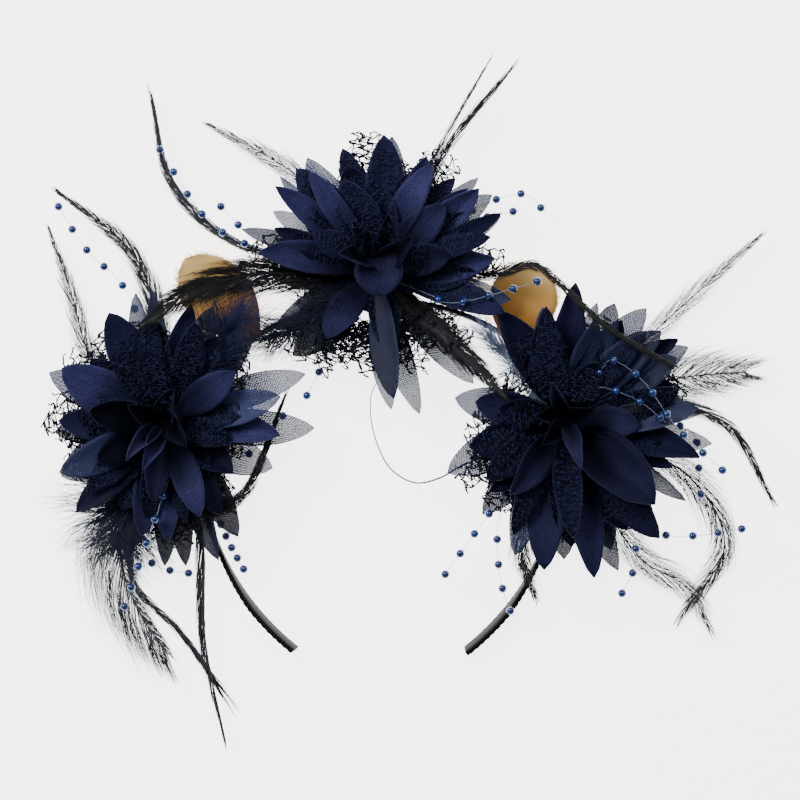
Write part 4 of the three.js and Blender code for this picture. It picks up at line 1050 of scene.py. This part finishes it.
# The most that a ragged lock is cut short, then ranges of a barb's length and of the thickness of locks and
# barbs, and the taper of a barb
LOCK_CUT, BARB_REACH, LOCK_THICKNESS, BARB_THICKNESS = 0.8, (0.7, 1.05), (0.7, 1.4), (0.7, 1.3)
BARB_TAPER = np.linspace(0.85, 0.7, STRAND_PLACES)


def barbs(line, row, rng):
    """Barbs on both sides of a quill that sweep along it towards its tip and cling together in locks."""
    length = np.linalg.norm(np.diff(line, axis=0), axis=1).sum()
    angle = math.radians(row.angle)
    count = int(length * row.cover * math.sin(angle) / (2 * row.barb))
    t = np.linspace(0, 1, STRAND_PLACES)[None]
    paths, thickness = [], []
    for side in (-1, 1):
        share = FIRST_BARB + BARB_SPAN * (np.arange(count) + rng.uniform(0, 1, count)) / count
        locks = np.maximum(share * length / LOCK_PITCH + rng.normal(0, LOCK_BLUR, count), 0).astype(int)
        most = locks.max() + 1
        uneven = rng.normal(0, UNEVEN_LEAN, most)[locks] + rng.normal(0, UNEVEN_LEAN, count)
        lean = angle * (ROOT_LEAN - LEAN_LOSS * share) * np.maximum(1 + row.ragged * uneven, LEAST_LEAN)
        half_width = vane_width(share, row.widths) * (1 + side * row.lopsided) * VANE_FULLNESS
        reach = half_width / math.sin(angle) * (1 - row.ragged * rng.uniform(0, LOCK_CUT, most)[locks])
        reach = (reach * rng.uniform(*BARB_REACH, count))[:, None] * t
        bend = lean[:, None] * (START_BEND - BEND_LOSS * t)
        place, _, across, above = on_line(line, share[:, None] + reach * np.cos(bend) / length)
        stray = reach * rng.normal(0, OUT_OF_VANE, count)[:, None] * t
        strands = place + across * (side * reach * np.sin(bend))[..., None] + above * stray[..., None]
        paths.append(gathered(strands, locks))
        thick = row.barb * rng.uniform(*LOCK_THICKNESS, most)[locks] * rng.uniform(*BARB_THICKNESS, count)
        thickness.append(thick[:, None] * BARB_TAPER[None])
    return fibres(np.concatenate(paths), np.concatenate(thickness))


def feather(row, rng):
    """A hackle feather: a quill with its barbs."""
    line = strand_line(row, row.via, row.tip)
    shape = stacked([quill(line, row.quill, QUILL_TIP), barbs(line, row, rng)])
    finish_piece(mesh_piece(f"{row.name}_barbs", shape, HACKLE, row.tone), row.name)


# Down: how the roots of locks bunch along the quill, how flat the tuft is, and how far a hair waves sideways
# and upwards. Then how much the hairs of a lock differ in root, turn, lean in degrees, reach and wave, and
# the ranges of the reach and waves of locks and of the thickness of hairs
BUNCHING, FLATNESS, SWAY, SWAY_UP = (1.1, 1.5), 0.35, 0.10, 0.5
ROOT_BLUR, TURN_BLUR, LEAN_BLUR, REACH_BLUR, WAVE_BLUR = 0.03, 0.3, 5, 0.08, 0.4
LOCK_REACH, LOCK_WAVE, LOCK_PHASE, HAIR_THICKNESS = (0.5, 1.1), (2, 6), (0, 6), (0.5, 1.5)
HAIR_TAPER = np.linspace(0.9, 0.7, STRAND_PLACES)


def down_hairs(line, widths, count, length, angles, radius, rng):
    """Soft hairs that leave a quill on all sides, in locks that wave."""
    most = count // HAIRS_PER_LOCK
    locks = rng.integers(0, most, count)

    def near(values, spread):
        return values[locks] + rng.normal(0, spread, count)

    share = np.clip(near(rng.beta(*BUNCHING, most), ROOT_BLUR), 0, 1)
    turn = near(rng.uniform(0, 2 * np.pi, most), TURN_BLUR)
    lean = np.radians(near(rng.uniform(*angles, most), LEAN_BLUR))
    fullness = vane_width(share, widths) / max(widths)
    reach = length * fullness * near(rng.uniform(*LOCK_REACH, most), REACH_BLUR)
    wave = near(rng.uniform(*LOCK_WAVE, most), WAVE_BLUR)
    phase = near(rng.uniform(*LOCK_PHASE, most), WAVE_BLUR)
    place, along, across, above = (rows[:, None] for rows in on_line(line, share))
    turn, lean, reach, wave, phase = (value[:, None, None] for value in (turn, lean, reach, wave, phase))
    t = np.linspace(0, 1, STRAND_PLACES)[None, :, None]
    sway = SWAY * (np.sin(wave * t + phase) - np.sin(phase)) * t
    out = across * np.cos(turn) + above * np.sin(turn) * FLATNESS
    ahead = along * np.cos(lean) * t + out * np.sin(lean) * t
    strands = place + reach * (ahead + (across + SWAY_UP * above) * sway)
    radii = radius * rng.uniform(*HAIR_THICKNESS, count)[:, None] * HAIR_TAPER[None]
    return fibres(gathered(strands, locks), radii)


def down(row, rng):
    """A tuft of down on a thin quill."""
    line = strand_line(row, row.via, row.tip)
    hairs = down_hairs(line, row.widths, row.hairs, row.length, row.lean, DOWN_HAIR, rng)
    shape = stacked([quill(line, *DOWN_QUILL), hairs])
    finish_piece(mesh_piece(f"{row.name}_hairs", shape, DOWN_DYE[row.dye], row.tone), row.name)


def bare_quill():
    """A stripped quill that loops from the right flower back to the top one."""
    line = smooth_line([(44, -55.5, 9), (29, -61.8, 8.5), (21.8, -65.9, 8.2), (12.6, -67.7, 8),
                        (3.3, -62.2, 8), (-3, -48.1, 8), (-3.7, -35.2, 8.2), (-1.1, -29.6, 8.4)])
    stem = quill(line, root_radius=0.42, tip_radius=0.2)
    finish_piece(mesh_piece("right_bare_quill", stem, HACKLE, tone=0.3))


def low_tuft(rng):
    """The fluff at the plume's root, which spills from under the left flower's lower petals."""
    line = smooth_line([(-88, -66, 15), (-95, -79, 15), (-98, -92, 11)], count=60)
    hairs = down_hairs(line, (17, 18, 12), count=1500, length=31, angles=(30, 85), radius=0.11, rng=rng)
    finish_piece(mesh_piece("left_low_tuft", hairs, BLUE_DOWN, tone=0.4))


# Tan feathers: the height of the vane's middle over the band, its thickness, and its fringe of loose barbs:
# their number, the share of the vane where they start, the two edges, their reach, radius and taper, the
# brightness, and how far they lean outwards and forwards
VANE_LIFT, VANE_THICKNESS = 0.6, 0.25
FRINGE, FRINGE_START, VANE_EDGES, FRINGE_REACH = 420, 0.35, (0.02, 0.98), (1.0, 3.4)
FRINGE_RADIUS, FRINGE_TAPER, FRINGE_TONE = 0.09, np.linspace(1, 0.3, 3), 1.2
FRINGE_THICKNESS, OUTWARD_LEAN, FORWARD_LEAN = (0.7, 1.2), 1.05, 0.25


def tan_vane(row, start, span):
    """The vane of a round body feather: a cupped leaf. Its surface is given back for the fringe."""
    length = np.linalg.norm(span)
    vane = sized(TAN_LEAF, f"{row.name}_vane", length, row.width)
    azimuth = math.atan2(span[1], span[0])
    rise = math.asin(span[2] / length)
    vane.matrix_world = (Matrix.Translation(Vector(start) * MM) @ Matrix.Rotation(azimuth, 4, "Z")
                         @ Matrix.Rotation(math.pi / 2 - rise, 4, "Y"))
    settle([vane])
    grid = surface_of(vane)
    thicken(vane, TAN, VANE_THICKNESS)
    finish_piece(vane, row.name)
    return grid


def tan_feather(row, rng):
    """A round body feather: a vane with a fringe of loose barbs round its end."""
    start = np.array([*row.root, PAD_FOOT + VANE_LIFT])
    span = np.array([*row.tip, PAD_FOOT + VANE_LIFT + row.rise]) - start
    grid = tan_vane(row, start, span)
    u, v = rng.uniform(FRINGE_START, 1.0, FRINGE), rng.choice(VANE_EDGES, FRINGE)
    base = on_surface(grid, u, v)
    outward = unit(base - on_surface(grid, u, np.full(FRINGE, 0.5)))
    heading = unit(outward * (OUTWARD_LEAN - u)[:, None] + unit(span) * (FORWARD_LEAN + u)[:, None])
    reach = rng.uniform(*FRINGE_REACH, FRINGE)
    # Each barb starts a little inside the edge
    steps = np.linspace(-0.3, 1, len(FRINGE_TAPER))[None, :, None]
    paths = base[:, None] + heading[:, None] * reach[:, None, None] * steps
    radii = FRINGE_RADIUS * FRINGE_TAPER[None] * rng.uniform(*FRINGE_THICKNESS, FRINGE)[:, None]
    fringe = mesh_piece(f"{row.name}_fringe", fibres(paths, radii), HACKLE, FRINGE_TONE)
    finish_piece(fringe)


# Beads: how far the poles are pulled in round the thread's hole, the bare length of thread at the root, the
# thread's radius and wobble, and how uneven the pitch is
POLE_DENT, BARE_ROOT, THREAD_RADIUS, THREAD_WOBBLE, PITCH_RANGE = 0.25, 12, 0.11, 0.1, (0.96, 1.04)


def bead_pattern():
    """One bead of unit radius: a ball whose poles are pulled in round the thread's hole."""
    choose()
    bpy.ops.mesh.primitive_uv_sphere_add(segments=12, ring_count=8, radius=1)
    ball = bpy.context.object
    bpy.ops.object.mode_set(mode="EDIT")
    for pole in (1, -1):
        pick(ball, lambda co: co.z * pole > 0.99)
        bpy.ops.transform.translate(value=(0, 0, -POLE_DENT * pole))
    bpy.ops.object.mode_set(mode="OBJECT")
    return as_shape(ball)


BALL = bead_pattern()


def string_beads(line, pitch, rng):
    """Beads from the tip of a thread back to its bare root."""
    steps = np.concatenate([[0], np.cumsum(np.linalg.norm(np.diff(line, axis=0), axis=1))])
    along, across, above = directions(line)
    vertices, faces = BALL
    balls = []
    spot = steps[-1] - 2 * BEAD_RADIUS
    while spot > BARE_ROOT:
        i = int(np.searchsorted(steps, spot))
        axes = np.stack([across[i], above[i], along[i]])
        balls.append((vertices * BEAD_RADIUS @ axes + line[i], faces))
        spot -= pitch * rng.uniform(*PITCH_RANGE)
    return balls


def bead_spray(row, rng):
    """A spray of beads on their threads. Its further strings leave from the first one."""
    _, first_via, first_tip, *_ = row.strings[0]
    main = strand_line(row, first_via, first_tip)
    balls, threads = [], []
    for share, via, tip, *own_pitch in row.strings:
        line = main
        if share:
            line = smooth_line([main[int(share * (len(main) - 1))], *via, tip])
        thread = (line + rng.normal(0, THREAD_WOBBLE, line.shape))[None, ::2]
        threads.append(fibres(thread, np.full(thread.shape[:2], THREAD_RADIUS), sides=4))
        balls += string_beads(line, own_pitch[0] if own_pitch else BEAD_PITCH, rng)
    finish_piece(mesh_piece(f"{row.name}_balls", stacked(balls), BEAD), row.name)
    finish_piece(mesh_piece(f"{row.name}_thread", stacked(threads), THREAD))


# Band and pads

CROWN_LENGTH = math.pi * math.sqrt((BAND_HALF_WIDTH ** 2 + CROWN_DROP ** 2) / 2)
HALF_BAND = CROWN_LENGTH / 2 + ARM_RADIUS * math.asin(ARM_DROP / ARM_RADIUS)
# The ribbon: the pitch of its turns, their width in pitches, their slant along the band, the thickness of
# every second turn as a share of the others', and the rounding of their edges
RIB_PITCH, TURN_WIDTH, TURN_SLANT, THIN_TURN, TURN_ROUNDING = 1.3, 1.35, 0.9, 0.94, 0.2
UPRIGHT = 0.8  # share of the lean that the band loses away from its tips
LEANING_END = 22  # length at each tip that keeps its full lean
PAD_ROUNDING = 0.5


def band_point(along):
    """Place on the band's middle line at a distance from the crown, in millimetres."""
    on_arm = abs(along) - CROWN_LENGTH / 2
    side = math.copysign(1, along)
    if on_arm <= 0:
        turn = along / CROWN_LENGTH * math.pi
        return np.array([BAND_HALF_WIDTH * math.sin(turn), CROWN_DROP * (math.cos(turn) - 1), 0])
    turn = on_arm / ARM_RADIUS
    inset = ARM_RADIUS * (1 - math.cos(turn))
    return np.array([side * (BAND_HALF_WIDTH - inset), -CROWN_DROP - ARM_RADIUS * math.sin(turn), 0])


def ribbon_turn():
    """One turn of ribbon as a slanting rounded strip, in millimetres."""
    choose()
    bpy.ops.mesh.primitive_cube_add(size=1, location=(0, 0, BAND_HEIGHT / 2 * MM))
    turn = bpy.context.object
    turn.scale = (RIB_PITCH * TURN_WIDTH * MM, BAND_THICKNESS * MM, BAND_HEIGHT * MM)
    bpy.ops.object.transform_apply(location=True, rotation=True, scale=True)
    bpy.ops.object.mode_set(mode="EDIT")
    pick(turn, lambda co: co.z > BAND_HEIGHT * MM / 2)
    # The top leans outwards, and the turn slants along the band
    bpy.ops.transform.translate(value=(TURN_SLANT * MM, BAND_LEAN * MM, 0))
    bpy.ops.mesh.select_all(action="SELECT")
    bpy.ops.mesh.bevel(offset=TURN_ROUNDING * MM, segments=1, affect="EDGES")
    bpy.ops.object.mode_set(mode="OBJECT")
    vertices, faces = as_shape(turn)
    return vertices / MM, faces


def ribbon_band():
    """The band: one turn of ribbon repeated along the band's line."""
    pattern, faces = ribbon_turn()
    ahead, outwards, height = pattern[:, :1], pattern[:, 1:2], pattern[:, 2:]
    turns = int(2 * HALF_BAND / RIB_PITCH)
    parts = []
    for k in range(turns):
        middle = -HALF_BAND + (k + 0.5) * 2 * HALF_BAND / turns
        along = unit(band_point(middle + 0.1) - band_point(middle - 0.1))
        outward = np.array([-along[1], along[0], 0])
        upright = UPRIGHT * np.clip((HALF_BAND - abs(middle) - LEANING_END) / LEANING_END, 0, 1)
        out = outwards * (THIN_TURN if k % 2 else 1) - upright * BAND_LEAN * height / BAND_HEIGHT
        place = band_point(middle) + ahead * along + out * outward + height * np.array([0, 0, 1.0])
        parts.append((place, faces))
    finish_piece(mesh_piece("ribbon_band", stacked(parts), RIBBON), "band")


def felt_pad(side):
    """The round pad between the band and a flower."""
    flower = FLOWERS[side]
    choose()
    bpy.ops.mesh.primitive_cylinder_add(vertices=48, radius=PAD_RADIUS * MM, depth=flower.pad * MM,
                                        location=Vector((flower.x, flower.y, PAD_FOOT + flower.pad / 2)) * MM)
    pad = bpy.context.object
    pad.name = pad.data.name = f"{side}_felt_pad"
    bpy.ops.object.transform_apply()
    bpy.ops.object.mode_set(mode="EDIT")
    bpy.ops.mesh.select_all(action="SELECT")
    bpy.ops.mesh.bevel(offset=PAD_ROUNDING * MM, segments=2, affect="EDGES")
    bpy.ops.object.mode_set(mode="OBJECT")
    pad.data.materials.append(FELT)
    choose(pad)
    finish_piece(pad, f"{side}_pad")
    bpy.ops.object.shade_smooth_by_angle(angle=math.radians(40))


# Camera, floor and light

PHOTO_SIDE = 296 * MM  # of the square that the photo shows at the focus height
PHOTO_MIDDLE = (7.0 * MM, -37.0 * MM)
CAMERA_HEIGHT = 1.4
FOCUS_HEIGHT = 12 * MM
SENSOR_WIDTH = 36
FLOOR_DROP = 0.2 * MM
SKY_STRENGTH = 0.24
LIT_PLACE = Vector((0, -0.03, 0))
# Softboxes: place and size in metres, and power in watts
SOFTBOXES = {"softbox_left": ((-0.8, 0.55, 1.0), 0.6, 20), "softbox_top": ((0.5, 0.8, 1.3), 0.9, 9)}


def camera():
    """Looks straight down, as the photo does."""
    lens = bpy.data.cameras.new("photo_camera")
    lens.sensor_width = SENSOR_WIDTH
    lens.lens = SENSOR_WIDTH * (CAMERA_HEIGHT - FOCUS_HEIGHT) / PHOTO_SIDE
    holder = bpy.data.objects.new("photo_camera", lens)
    holder.location = (*PHOTO_MIDDLE, CAMERA_HEIGHT)
    bpy.context.collection.objects.link(holder)
    bpy.context.scene.camera = holder


def paper_floor():
    """Paper that glows as well as being lit, so that it shows as pale as the photo's ground."""
    choose()
    bpy.ops.mesh.primitive_plane_add(size=4, location=(0, 0, -FLOOR_DROP))
    floor = bpy.context.object
    floor.name = "floor"
    # White paper: matt and even
    material, shader, _ = new_material("white_paper")
    wire(shader, {"Base Color": linear("#f4f4f4"), "Roughness": 0.9, "Specular IOR Level": 0.0,
                  "Emission Color": linear("#ffffff"), "Emission Strength": 4.0})
    floor.data.materials.append(material)


def lights():
    """An even white sky and two softboxes."""
    world = bpy.data.worlds.new("studio_world")
    bpy.context.scene.world = world
    world.use_nodes = True
    wire(world.node_tree.nodes["Background"], {"Color": (1, 1, 1, 1), "Strength": SKY_STRENGTH})
    for name, (place, size, power) in SOFTBOXES.items():
        light = bpy.data.lights.new(name, "AREA")
        light.size = size
        light.energy = power
        lamp = bpy.data.objects.new(name, light)
        lamp.location = place
        lamp.rotation_euler = (LIT_PLACE - Vector(place)).to_track_quat("-Z", "Y").to_euler()
        bpy.context.collection.objects.link(lamp)


camera()
paper_floor()
lights()
chance = np.random.default_rng(7)
ribbon_band()
for side in FLOWERS:
    felt_pad(side)
    for name in LAYERS:
        flower_layer(side, name, chance)
for row in FEATHERS:
    feather(row, chance)
bare_quill()
low_tuft(chance)
for row in DOWNS:
    down(row, chance)
for row in TAN_FEATHERS:
    tan_feather(row, chance)
for row in SPRAYS:
    bead_spray(row, chance)
for pattern in LEAVES:
    bpy.data.objects.remove(pattern)
